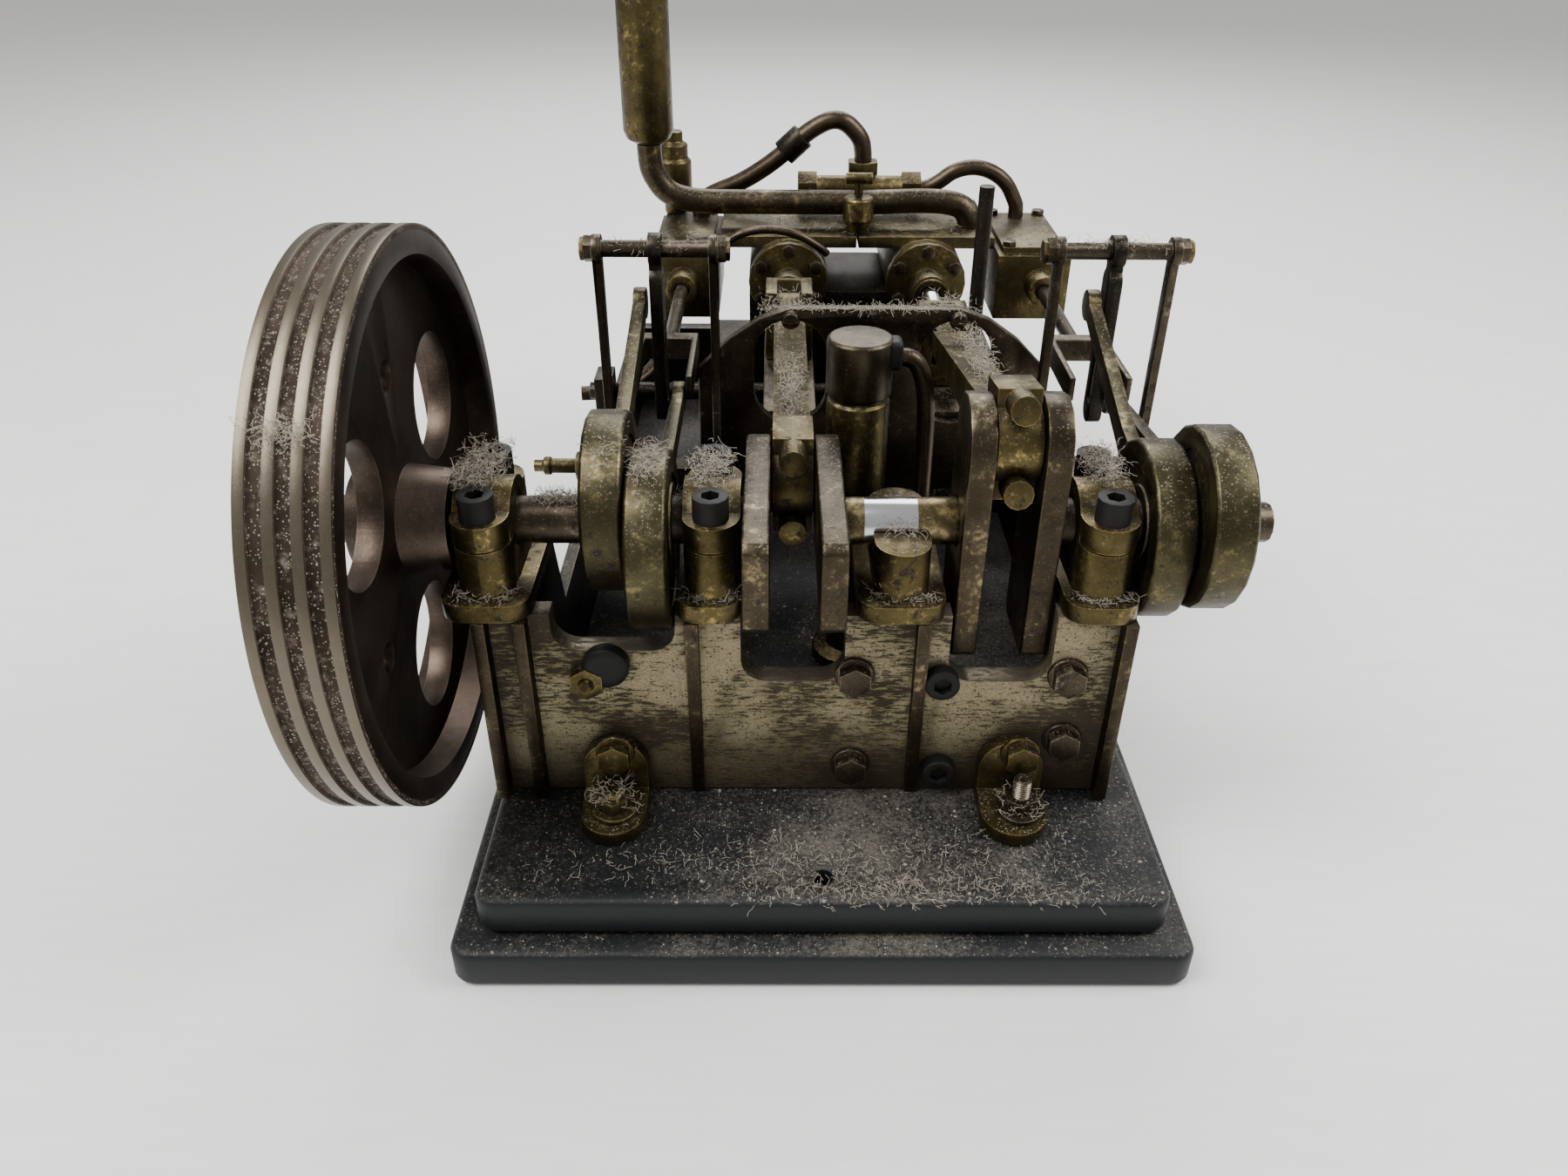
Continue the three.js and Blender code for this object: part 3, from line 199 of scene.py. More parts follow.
# ---- Sizes and colours that a user would change ----
class EngineSizes(bpy.types.PropertyGroup):
    """Sizes of the finished pieces that the frame doesn't fix."""

    edge: FloatProperty(
        name="Edge", description="Width of the broken edges", default=0.28 * MM, unit="LENGTH"
    )
    rim_steps: IntProperty(name="Rim steps", description="Facets round the flywheel", default=144, min=48)
    round_steps: IntProperty(
        name="Round steps", description="Facets round other turned pieces", default=64, min=24
    )
    strands: IntProperty(
        name="Dust strands", description="Fibres of dust on each busy piece", default=420, min=0
    )


class EngineColours(bpy.types.PropertyGroup):
    """Colours of the finishes."""

    brass: FloatVectorProperty(
        name="Brass", description="Bare brass where it is rubbed", subtype="COLOR",
        default=(0.45, 0.34, 0.125)
    )
    steel: FloatVectorProperty(
        name="Steel", description="Bare steel where it is rubbed", subtype="COLOR", default=(0.4, 0.34, 0.25)
    )
    copper: FloatVectorProperty(
        name="Copper", description="Bare copper where it is rubbed", subtype="COLOR", default=(0.3, 0.17, 0.1)
    )
    dust: FloatVectorProperty(
        name="Dust", description="Settled dust", subtype="COLOR", default=(0.36, 0.32, 0.26)
    )
    paint: FloatVectorProperty(
        name="Paint", description="The plinth's black paint", subtype="COLOR", default=(0.004, 0.005, 0.006)
    )


class EngineStage(bpy.types.PropertyGroup):
    """Stage and camera."""

    floor: FloatVectorProperty(
        name="Floor", description="Pale floor", subtype="COLOR", default=(0.8, 0.8, 0.79)
    )
    lens: FloatProperty(name="Lens", description="Focal length on a 36 mm sensor", default=27.04, min=10)
    pitch: FloatProperty(
        name="Pitch", description="Camera's tilt below level", default=math.radians(32.6), subtype="ANGLE"
    )
    back: FloatProperty(
        name="Back", description="Camera in front of the crankshaft", default=0.204, unit="LENGTH"
    )
    rise: FloatProperty(name="Rise", description="Camera above the crankshaft", default=0.1145, unit="LENGTH")


# ---- Shader maths ----
class Value:
    """A number socket that Python operators turn into Math nodes."""

    def __init__(self, finish, socket):
        self.finish = finish
        self.socket = socket

    def math(self, operation, *others, clamp=False):
        settings = {"operation": operation, "use_clamp": clamp}
        return self.finish.value("ShaderNodeMath", 0, settings, self, *others)

    def __add__(self, other):
        return self.math("ADD", other)

    def __sub__(self, other):
        return self.math("SUBTRACT", other)

    def __rsub__(self, other):
        return self.finish.value("ShaderNodeMath", 0, {"operation": "SUBTRACT"}, other, self)

    def __mul__(self, other):
        return self.math("MULTIPLY", other)

    def __pow__(self, other):
        return self.math("POWER", other)

    __radd__ = __add__
    __rmul__ = __mul__

    def step(self, low, high):
        """0 below low, 1 above high, smooth between."""
        settings = {"interpolation_type": "SMOOTHSTEP"}
        return self.finish.value("ShaderNodeMapRange", 0, settings, self, low, high, 0.0, 1.0)

    def most(self, other):
        return self.math("MAXIMUM", other)

    def least(self, other):
        return self.math("MINIMUM", other)


class Finish:
    """One material, built from nodes."""

    def __init__(self, name):
        self.material = bpy.data.materials.new(name)
        self.material.use_nodes = True
        self.tree = self.material.node_tree
        self.shader = self.tree.nodes["Principled BSDF"]
        self.place = self.node("ShaderNodeTexCoord", {}).outputs["Object"]

    def node(self, kind, settings, *inputs, **named):
        """A node with its settings made first, then its sockets given by order or by name."""
        made = self.tree.nodes.new(kind)
        for key, setting in settings.items():
            setattr(made, key, setting)
        for key, given in [*enumerate(inputs), *((k.replace("_", " "), v) for k, v in named.items())]:
            self.give(made.inputs[key], given)
        return made

    def give(self, socket, given):
        if isinstance(given, Value):
            given = given.socket
        if isinstance(given, bpy.types.NodeSocket):
            self.tree.links.new(given, socket)
        elif given is not None:
            socket.default_value = given

    def value(self, kind, output, settings, *inputs, **named):
        return Value(self, self.node(kind, settings, *inputs, **named).outputs[output])

    def stretched(self, scale):
        return self.node("ShaderNodeMapping", {}, self.place, Scale=scale).outputs[0]

    def noise(self, scale, detail=4.0, stretch=None, rough=0.6):
        place = self.stretched(stretch) if stretch else self.place
        return self.value("ShaderNodeTexNoise", 0, {}, place, Scale=scale, Detail=detail, Roughness=rough)

    def specks(self, scale, size, share):
        """Small round marks: 1 in a mark, over a share of the surface."""
        cells = self.node("ShaderNodeTexVoronoi", {}, self.place, Scale=scale)
        near = 1 - Value(self, cells.outputs["Distance"]).step(size * 0.6, size)
        chosen = self.value("ShaderNodeSeparateColor", 0, {}, cells.outputs["Color"])
        return near * chosen.step(1 - share, 1 - share + 0.02)

    def facing_up(self):
        coordinates = self.node("ShaderNodeTexCoord", {})
        return self.value("ShaderNodeSeparateXYZ", 2, {}, coordinates.outputs["Normal"])

    def edges(self, radius):
        """1 where the surface turns sharply."""
        soft = self.node("ShaderNodeBevel", {"samples": 4}, radius).outputs[0]
        flat = self.node("ShaderNodeNewGeometry", {}).outputs["Normal"]
        same = self.node("ShaderNodeVectorMath", {"operation": "DOT_PRODUCT"}, soft, flat).outputs["Value"]
        return (1 - Value(self, same)).step(0.02, 0.2)

    def hollows(self, distance):
        """1 in corners and hollows, from ambient occlusion: the mask of painted shade."""
        # Painted shade: the less open a spot is to light, the more shade is painted there
        open_share = self.value("ShaderNodeAmbientOcclusion", 1, {"samples": 6}, Distance=distance)
        return (1 - open_share).step(0.25, 0.85)

    def mix(self, share, first, second):
        """One colour over another by a share."""
        made = self.node("ShaderNodeMix", {"data_type": "RGBA"}, share)
        self.give(made.inputs[6], self.colour(first))
        self.give(made.inputs[7], self.colour(second))
        return made.outputs[2]

    @staticmethod
    def colour(given):
        return given if isinstance(given, bpy.types.NodeSocket) else (*given, 1.0)

    def bump(self, height, strength, distance):
        return self.node("ShaderNodeBump", {}, Strength=strength, Distance=distance, Height=height).outputs[0]

    def finish(self, colour, roughness, metallic, normal=None):
        self.give(self.shader.inputs["Base Color"], self.colour(colour))
        self.give(self.shader.inputs["Roughness"], roughness)
        self.give(self.shader.inputs["Metallic"], metallic)
        if normal:
            self.give(self.shader.inputs["Normal"], normal)
        return self.material


# ---- Finishes ----
def shade(colour, share):
    return tuple(share * c for c in colour)


def old_metal(name, bare, tarnish, rub, dirt_and_shade=0.5, dust=0.5, gloss=0.3):
    """Metal with a bare colour rubbed through its tarnish, grimy spots, painted shade darkening its corners
    and dust on what faces up.
    """
    made = Finish(name)
    dusty = bpy.context.scene.engine_colours.dust
    cloud = made.noise(110, 6)
    patch = made.noise(620, 7, rough=0.7)
    fine = made.noise(2600, 4)
    rubbed = (patch * 0.55 + cloud * 0.45).step(0.64 - 0.22 * rub, 0.76 - 0.2 * rub) * 0.7
    rubbed = rubbed.most(made.edges(0.45 * MM) * (patch * 0.8 + 0.25))
    colour = made.mix(rubbed, made.mix(cloud.step(0.35, 0.65), shade(tarnish, 0.6), tarnish), bare)
    spots = made.noise(380, 8, rough=0.75).step(0.64 - 0.12 * dirt_and_shade, 0.7 - 0.1 * dirt_and_shade)
    # Near black from real grimy spots and from painted shade, which ambient occlusion puts in corners and
    # hollows
    grime_and_shade = made.hollows(5 * MM).most(spots) * dirt_and_shade
    colour = made.mix(grime_and_shade, colour, (0.012, 0.01, 0.008))
    up = made.facing_up().step(0.25, 0.95)
    crumbs = made.specks(1300, 0.34, 0.22).most(made.specks(2400, 0.4, 0.3))
    film = (cloud * 0.4 + patch * 0.6).step(0.46, 0.7) * up * 0.4
    settled = film.most(crumbs * (up * 0.75 + 0.2)) * dust
    colour = made.mix(settled, colour, dusty)
    roughness = gloss + fine * 0.18 + grime_and_shade * 0.22 + settled * 0.5 - rubbed * 0.08
    metallic = 1 - (grime_and_shade * 0.35).most(settled * 0.95)
    normal = made.bump(fine * 0.4 + patch * 0.8 + settled * 1.5, 0.3, 0.1 * MM)
    return made.finish(colour, roughness, metallic, normal)


def wheel_steel():
    """Brown steel with bright lands on the tread and dust packed in the grooves."""
    made = Finish("wheel_steel")
    colours = bpy.context.scene.engine_colours
    parts = made.node("ShaderNodeSeparateXYZ", {}, made.place)
    back = Value(made, parts.outputs[1]) - SHAFT.y
    up = Value(made, parts.outputs[2]) - SHAFT.z
    radius = (back * back + up * up) ** 0.5
    land = radius.step(55.6 * MM, 55.85 * MM)
    groove = radius.step(54.7 * MM, 54.95 * MM) * (1 - land)
    cloud = made.noise(60, 6)
    patch = made.noise(500, 7, rough=0.7)
    fine = made.noise(2400, 4)
    body = made.mix(cloud.step(0.35, 0.68), (0.035, 0.026, 0.02), (0.085, 0.062, 0.048))
    body = made.mix(patch.step(0.62, 0.74) * 0.5, body, (0.17, 0.1, 0.06))
    rubbed = (land * (0.5 + patch * 0.4)).most(made.edges(0.5 * MM) * 0.5)
    colour = made.mix(rubbed, body, shade(colours.steel, 0.42))
    crumbs = made.specks(2300, 0.4, 0.42).most(made.specks(1300, 0.32, 0.24))
    low = (back * back * 400).least(1)
    settled = (crumbs * (groove * 0.7 + 0.1)).most(groove * patch.step(0.5, 0.7) * 0.4) * (0.6 + low * 0.4)
    colour = made.mix(settled * (1 - land * 0.8), colour, colours.dust)
    normal = made.bump(fine * 0.4 + patch * 0.6 + settled, 0.3, 0.1 * MM)
    return made.finish(colour, 0.34 + fine * 0.14 + groove * 0.3 - land * 0.06, 1 - settled * 0.9, normal)


def pitted_plate():
    """Dull silver plate with wear through to near black in broken level streaks, pits, and painted shade
    blackening it near its corners.
    """
    made = Finish("pitted_plate")
    streaks = made.noise(900, 9, stretch=(0.3, 1, 1.5), rough=0.75)
    patches = made.noise(40, 5, stretch=(0.8, 1, 1.2))
    fine = made.noise(2600, 4)
    # Painted shade: ambient occlusion marks the plate's corners beside its ribs and cut-outs
    corner = made.hollows(11 * MM)
    # The wear streaks gather where that painted shade lies
    wear_and_shade = (streaks * 0.62 + patches * 0.46 + corner * 0.16).step(0.53, 0.585)
    spots = made.specks(1300, 0.32, 0.35)
    # Near black from pits and wear, and from painted shade in the corners
    pits_wear_and_shade = (wear_and_shade * 0.9).most(spots * 0.8).most(corner * 0.9)
    silver = made.mix(patches.step(0.38, 0.6), (0.25, 0.215, 0.13), (0.13, 0.108, 0.06))
    silver = made.mix(fine.step(0.4, 0.65) * 0.5, silver, (0.09, 0.072, 0.04))
    colour = made.mix(pits_wear_and_shade, silver, (0.03, 0.022, 0.014))
    colour = made.mix(made.facing_up().step(0.2, 0.9) * 0.6, colour, (0.12, 0.1, 0.08))
    normal = made.bump(fine * 0.5 - pits_wear_and_shade, 0.6, 0.12 * MM)
    return made.finish(colour, 0.34 + pits_wear_and_shade * 0.25 + fine * 0.16, 0.9 - pits_wear_and_shade * 0.35, normal)


def journal():
    """A shaft left bright where its bearing ran and brown beside it."""
    made = Finish("journal")
    along = Value(made, made.node("ShaderNodeSeparateXYZ", {}, made.place).outputs[0])
    ran = along.step(7.6 * MM, 7.9 * MM) * (1 - along.step(18 * MM, 18.3 * MM))
    patch = made.noise(500, 7, rough=0.7)
    brown = made.mix(patch.step(0.45, 0.7), (0.11, 0.085, 0.045), (0.36, 0.29, 0.14))
    colour = made.mix(ran, brown, (0.56, 0.57, 0.59))
    normal = made.bump(patch * (1 - ran), 0.3, 0.1 * MM)
    return made.finish(colour, 0.36 - ran * 0.2 + patch * 0.06, 1.0, normal)


def black_paint():
    """Satin black paint with dust and pale crumbs lying on it."""
    made = Finish("black_paint")
    colours = bpy.context.scene.engine_colours
    up = made.facing_up().step(0.5, 0.95)
    cloud = made.noise(30, 6)
    fine = made.noise(1500, 6, rough=0.75)
    film = up * (cloud * 0.5 + fine * 0.6).step(0.5, 0.76) * 0.4
    crumbs = made.specks(900, 0.25, 0.2).most(made.specks(420, 0.2, 0.12))
    crumbs = up * crumbs.most(made.specks(1900, 0.3, 0.3))
    settled = film.most(crumbs * cloud.step(0.3, 0.52) * 0.85)
    colour = made.mix(settled, colours.paint, shade(colours.dust, 0.8))
    normal = made.bump(fine + settled * 2, 0.3, 0.15 * MM)
    made.give(made.shader.inputs["Specular IOR Level"], 0.32)
    return made.finish(colour, 0.42 + settled * 0.4 + fine * 0.16, 0.0, normal)


def plain(name, colour, roughness, metallic):
    """A small piece's finish, clouded a little."""
    made = Finish(name)
    cloud = made.noise(320, 5)
    dim = made.mix(cloud.step(0.38, 0.66), shade(colour, 0.72), colour)
    made.give(made.shader.inputs["Specular IOR Level"], 0.22)
    return made.finish(dim, roughness + cloud * 0.14, metallic, made.bump(cloud, 0.15, 0.1 * MM))


def pale_floor(colour):
    """A pale table top with a faint grain."""
    made = Finish("pale_floor")
    grain = made.noise(260, 4, stretch=(0.15, 1, 1))
    tone = made.mix(grain.step(0.35, 0.65) * 0.5, colour, shade(colour, 0.93))
    return made.finish(tone, 0.6, 0.0, made.bump(grain, 0.08, 0.2 * MM))


def make_finishes():
    colours = bpy.context.scene.engine_colours
    brass, steel, copper = colours.brass, colours.steel, colours.copper
    return {
        "black_paint": black_paint(),
        "pitted_plate": pitted_plate(),
        "old_brass": old_metal("old_brass", brass, (0.095, 0.074, 0.03), rub=0.45, dirt_and_shade=0.8, dust=0.5),
        "green_brass": old_metal("green_brass", (0.3, 0.235, 0.1), (0.076, 0.065, 0.034), 0.5, 0.65, 0.5),
        "bronze": old_metal("bronze", (0.32, 0.25, 0.13), (0.062, 0.048, 0.03), rub=0.5, dirt_and_shade=0.7, dust=0.4),
        "brown_steel": old_metal("brown_steel", steel, (0.07, 0.055, 0.037), rub=0.4, dirt_and_shade=0.75, dust=0.45),
        "dark_steel": old_metal(
            "dark_steel", shade(steel, 0.45), (0.03, 0.026, 0.02), rub=0.1, dirt_and_shade=0.6, dust=0.4
        ),
        "copper_pipe": old_metal("copper_pipe", copper, (0.075, 0.055, 0.037), rub=0.28, dirt_and_shade=0.55, dust=0.3),
        "cap_brown": old_metal(
            "cap_brown", (0.22, 0.18, 0.11), (0.07, 0.058, 0.036), rub=0.3, dirt_and_shade=0.4, dust=0.4
        ),
        "journal": journal(),
        "wheel_steel": wheel_steel(),
        "bright_steel": plain("bright_steel", (0.74, 0.75, 0.76), 0.1, 1.0),
        "black_screw": plain("black_screw", (0.008, 0.0075, 0.007), 0.46, 0.0),
        "fluff": plain("fluff", shade(colours.dust, 1.15), 0.95, 0.0),
    }


# ---- Modelling ----
def start():
    """Leaves nothing selected and returns to object mode."""
    if bpy.context.object and bpy.context.object.mode != "OBJECT":
        bpy.ops.object.mode_set(mode="OBJECT")
    bpy.ops.object.select_all(action="DESELECT")


def only(piece):
    start()
    piece.select_set(True)
    bpy.context.view_layer.objects.active = piece


def apply_modifier(piece, kind, **settings):
    only(piece)
    made = piece.modifiers.new(kind.title(), kind)
    for key, setting in settings.items():
        setattr(made, key, setting)
    bpy.ops.object.modifier_apply(modifier=made.name)


def smooth(piece, angle=32):
    only(piece)
    bpy.ops.object.shade_smooth_by_angle(angle=math.radians(angle))


def settle(piece, name, finish, body, slot=None):
    """Names a piece, puts its place in its mesh, gives it its finish and its body."""
    only(piece)
    bpy.ops.object.transform_apply(location=True, rotation=True, scale=True)
    piece.name = name
    piece.data.name = name
    piece.data.materials.clear()
    piece.data.materials.append(FINISHES[finish])
    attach(piece, body)
    slot or (finish if finish in SLOTS else "dark_steel")
    return piece


def soften(piece, width, segments=2, angle=32):
    """Breaks a piece's sharp edges."""
    apply_modifier(
        piece, "BEVEL", width=width, segments=segments, limit_method="ANGLE", angle_limit=math.radians(angle),
        use_clamp_overlap=True, harden_normals=False,
    )
    smooth(piece, angle)


def merged_copy(node):
    """A fixed node's copy, its corners merged and its flat faces made whole."""
    source = frame["nodes"][node]
    copy = source.copy()
    copy.data = source.data.copy()
    copy.parent = None
    copy.matrix_world = Matrix.Identity(4)
    for key in list(copy.keys()):
        del copy[key]
    bpy.context.scene.collection.objects.link(copy)
    only(copy)
    bpy.ops.object.mode_set(mode="EDIT")
    bpy.ops.mesh.select_all(action="SELECT")
    bpy.ops.mesh.remove_doubles(threshold=WELD)
    bpy.ops.mesh.dissolve_limited(angle_limit=math.radians(0.6))
    bpy.ops.object.mode_set(mode="OBJECT")
    return copy


def softened(node, finish, width):
    """Stands for a fixed node with its edges broken."""
    piece = merged_copy(node)
    soften(piece, width)
    settle(piece, node + "_finished", finish, body_of(frame["nodes"][node])[0], SLOT_OF[node])
    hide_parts(node)
    return piece


def lathe(profile, steps, closed=False):
    """Turns a profile of (radius, height) pairs about Z, ring by ring, and leaves it at the origin."""
    start()
    radius, height = profile[0]
    fill = "NOTHING" if closed else "NGON"
    bpy.ops.mesh.primitive_circle_add(vertices=steps, radius=radius, fill_type=fill, location=(0, 0, height))
    piece = bpy.context.object
    bpy.ops.object.transform_apply(location=True)
    bpy.ops.object.mode_set(mode="EDIT")
    bpy.ops.mesh.select_all(action="SELECT")
    if not closed:
        bpy.ops.mesh.select_mode(type="EDGE")
        bpy.ops.mesh.region_to_loop()
    for next_radius, next_height in profile[1:]:
        bpy.ops.mesh.extrude_edges_move(TRANSFORM_OT_translate={"value": (0, 0, next_height - height)})
        scale = next_radius / radius
        bpy.ops.transform.resize(value=(scale, scale, 1), center_override=(0, 0, next_height))
        radius, height = next_radius, next_height
    if closed:
        bpy.ops.mesh.select_all(action="SELECT")
        bpy.ops.mesh.remove_doubles(threshold=WELD)
    else:
        bpy.ops.mesh.edge_face_add()
    bpy.ops.mesh.select_all(action="SELECT")
    bpy.ops.mesh.normals_make_consistent(inside=False)
    bpy.ops.object.mode_set(mode="OBJECT")
    return piece


def put(piece, place, axis="z", spin=0.0):
    """Turns a piece made along Z onto an axis, at a place in millimetres from the crankshaft's middle."""
    turn = Matrix.Identity(4)
    if axis in TURNS:
        from_z = TURNS[axis]
        turn = Matrix.Rotation(from_z[0], 4, "X") @ Matrix.Rotation(from_z[1], 4, "Y")
    spot = Matrix.Translation(at(*place))
    piece.data.transform(spot @ turn @ Matrix.Rotation(spin, 4, "Z"))
    return piece


def at(x, y, z):
    """A place in metres, from x in the row frame and y, z from the crankshaft's axis, in millimetres."""
    return Vector((x * MM, SHAFT.y + y * MM, SHAFT.z + z * MM))


def mm(profile):
    return [(r * MM, h * MM) for r, h in profile]


def paint(piece, finish, chosen):
    """Gives a second finish to the faces whose middle is chosen."""
    piece.data.materials.append(FINISHES[finish])
    last = len(piece.data.materials) - 1
    for face in piece.data.polygons:
        if chosen(face.center):
            face.material_index = last


# ---- Operators ----
class ENGINE_OT_stage(bpy.types.Operator):
    """Floor, lights, world and camera"""

    bl_idname = "engine.stage"
    bl_label = "Stage"

    def execute(self, context):
        stage = context.scene.engine_stage
        start()
        bpy.ops.mesh.primitive_plane_add(size=8, location=(0, 1.5, 0))
        floor = context.object
        floor.name = "floor"
        bpy.ops.object.transform_apply(location=True)
        floor.data.materials.append(pale_floor(tuple(stage.floor)))
        world = bpy.data.worlds.new("soft_room")
        world.use_nodes = True
        world.node_tree.nodes["Background"].inputs["Color"].default_value = (1.0, 0.99, 0.97, 1)
        world.node_tree.nodes["Background"].inputs["Strength"].default_value = 0.6
        context.scene.world = world
        for place, size, power in (
            ((-0.45, -0.25, 0.75), 0.5, 9.0), ((0.55, -0.1, 0.6), 0.35, 5.0), ((0.05, 0.65, 0.7), 0.6, 7.0)
        ):
            bpy.ops.object.light_add(type="AREA", location=place)
            lamp = context.object
            lamp.data.size = size
            lamp.data.energy = power
            aim = Vector((0, 0, 0.06)) - Vector(place)
            lamp.rotation_euler = aim.to_track_quat("-Z", "Y").to_euler()
        bpy.ops.object.camera_add()
        camera = context.object
        camera.data.sensor_width = 36
        camera.data.lens = stage.lens
        camera.data.clip_start = 0.005
        place = Matrix.Translation((-0.0095, SHAFT.y - stage.back, SHAFT.z + stage.rise))
        heading = Matrix.Rotation(math.radians(HEADING), 4, "Z")
        turn = heading @ Matrix.Rotation(math.pi / 2 - stage.pitch, 4, "X")
        camera.matrix_world = place @ turn @ Matrix.Rotation(math.radians(ROLL), 4, "Z")
        context.scene.camera = camera
        return {"FINISHED"}


class ENGINE_OT_castings(bpy.types.Operator):
    """Plinth, frame, bearings and other pieces whose shape the frame already gives"""

    bl_idname = "engine.castings"
    bl_label = "Castings"

    def execute(self, context):
        edge = context.scene.engine_sizes.edge
        for node in frame["nodes"]:
            if node in FRESH:
                continue
            finish, width = SOFTENED.get(node, (SLOT_OF[node], edge / MM))
            piece = softened(node, finish, width * MM)
            if node == "front_plate":
                paint(piece, "bronze", lambda c: c.y < at(0, -12.7, 0).y)
            if node == "oil_pump":
                paint(piece, "cap_brown", lambda c: c.z > at(0, 0, 10.3).z)
            if node.startswith("bearing_cap"):
                self.black_screws(piece)
        return {"FINISHED"}

    def black_screws(self, cap):
        """Sinks a hexagon socket in each cap screw and blackens the screws."""
        middle = (cap.bound_box[0][0] + cap.bound_box[6][0]) / 2 / MM
        for y in (-9.4, 9.4):
            socket = lathe(mm([(1.9, -1.9), (1.9, 2)]), 6)
            put(socket, (middle, y, 10.5))
            cut(cap, socket)
        paint(cap, "black_screw", lambda c: c.z > at(0, 0, 7.4).z and abs(c.y - SHAFT.y) > 5.7 * MM)


def cut(piece, cutter):
    """Takes a closed shape out of a piece."""
    only(piece)
    made = piece.modifiers.new("Cut", "BOOLEAN")
    made.operation = "DIFFERENCE"
    made.solver = "EXACT"
    made.object = cutter
    bpy.ops.object.modifier_apply(modifier="Cut")
    bpy.data.objects.remove(cutter)


def joined(*pieces):
    """Several shapes as one piece."""
    only(pieces[0])
    for piece in pieces:
        piece.select_set(True)
    bpy.ops.object.join()
    return bpy.context.object


def copied(piece):
    copy = piece.copy()
    copy.data = piece.data.copy()
    bpy.context.scene.collection.objects.link(copy)
    return copy


def tube(points, diameter, sides=24):
    """A bent pipe through places in millimetres, closed at its ends."""
    start()
    line = bpy.data.curves.new("pipe", "CURVE")
    line.dimensions = "3D"
    spline = line.splines.new("NURBS")
    spline.points.add(len(points) - 1)
    for point, place in zip(spline.points, points):
        point.co = (*at(*place), 1)
    spline.order_u = 3
    spline.use_endpoint_u = True
    spline.resolution_u = 10
    line.bevel_depth = diameter * MM / 2
    line.bevel_resolution = sides // 4 - 1
    line.use_fill_caps = True
    piece = bpy.data.objects.new("pipe", line)
    bpy.context.scene.collection.objects.link(piece)
    only(piece)
    bpy.ops.object.convert(target="MESH")
    piece = bpy.context.object
    bpy.ops.object.mode_set(mode="EDIT")
    bpy.ops.mesh.select_all(action="SELECT")
    bpy.ops.mesh.remove_doubles(threshold=WELD)
    bpy.ops.mesh.normals_make_consistent(inside=False)
    bpy.ops.object.mode_set(mode="OBJECT")
    return piece


# Fasteners, each made once along Z with its seat at 0, in millimetres
def hexagon_head(across, height, washer=0.0, stud=0.0, dished=False):
    """A hexagon head or nut, with a washer under it or a stud through it."""
    corner = across / math.sqrt(3)
    low = 0.9 if washer else 0.0
    head = lathe(mm([(corner, low), (corner, low + height)]), 6)
    top = low + height
    crown = lathe(mm([(corner * 2, low - 1), (corner * 2, top - 0.9), (across * 0.47, top + 0.05)]), 32)
    only(head)
    made = head.modifiers.new("Crown", "BOOLEAN")
    made.operation = "INTERSECT"
    made.solver = "EXACT"
    made.object = crown
    bpy.ops.object.modifier_apply(modifier="Crown")
    bpy.data.objects.remove(crown)
    if dished:
        cut(head, lathe(mm([(0.4, low + height - 1.4), (across * 0.36, low + height + 0.6)]), 32))
    soften(head, 0.18 * MM)
    extras = []
    if washer:
        ring = lathe(mm([(washer, 0), (washer, 0.7), (washer - 0.2, low)]), 40)
        soften(ring, 0.12 * MM)
        extras.append(ring)
    if stud:
        turns = []
        top = low + height
        while top < low + height + stud:
            turns += [(across * 0.26, top), (across * 0.3, top + 0.2), (across * 0.26, top + 0.4)]
            top += 0.55
        screw = lathe(mm([(across * 0.26, low)] + turns + [(across * 0.22, top + 0.15)]), 28)
        smooth(screw, 50)
        extras.append(screw)
    return joined(head, *extras) if extras else head


def socket_screw(radius, height):
    """A cap screw with a hexagon socket."""
    head = lathe(mm([(radius, 0), (radius, height - 0.3), (radius - 0.3, height)]), 40)
    cut(head, lathe(mm([(radius * 0.56, height * 0.4), (radius * 0.56, height + 1)]), 6))
    soften(head, 0.1 * MM)
    return head


def slotted_screw(radius, height):
    """A round head with a driver slot."""
    profile = [(radius, 0), (radius, height * 0.5), (radius * 0.8, height * 0.9), (radius * 0.3, height)]
    head = lathe(mm(profile), 36)
    start()
    slot = (radius * 3 * MM, 0.55 * MM, 0.9 * MM)
    bpy.ops.mesh.primitive_cube_add(size=1, location=(0, 0, height * MM), scale=slot)
    cut(head, bpy.context.object)
    smooth(head, 40)
    return head


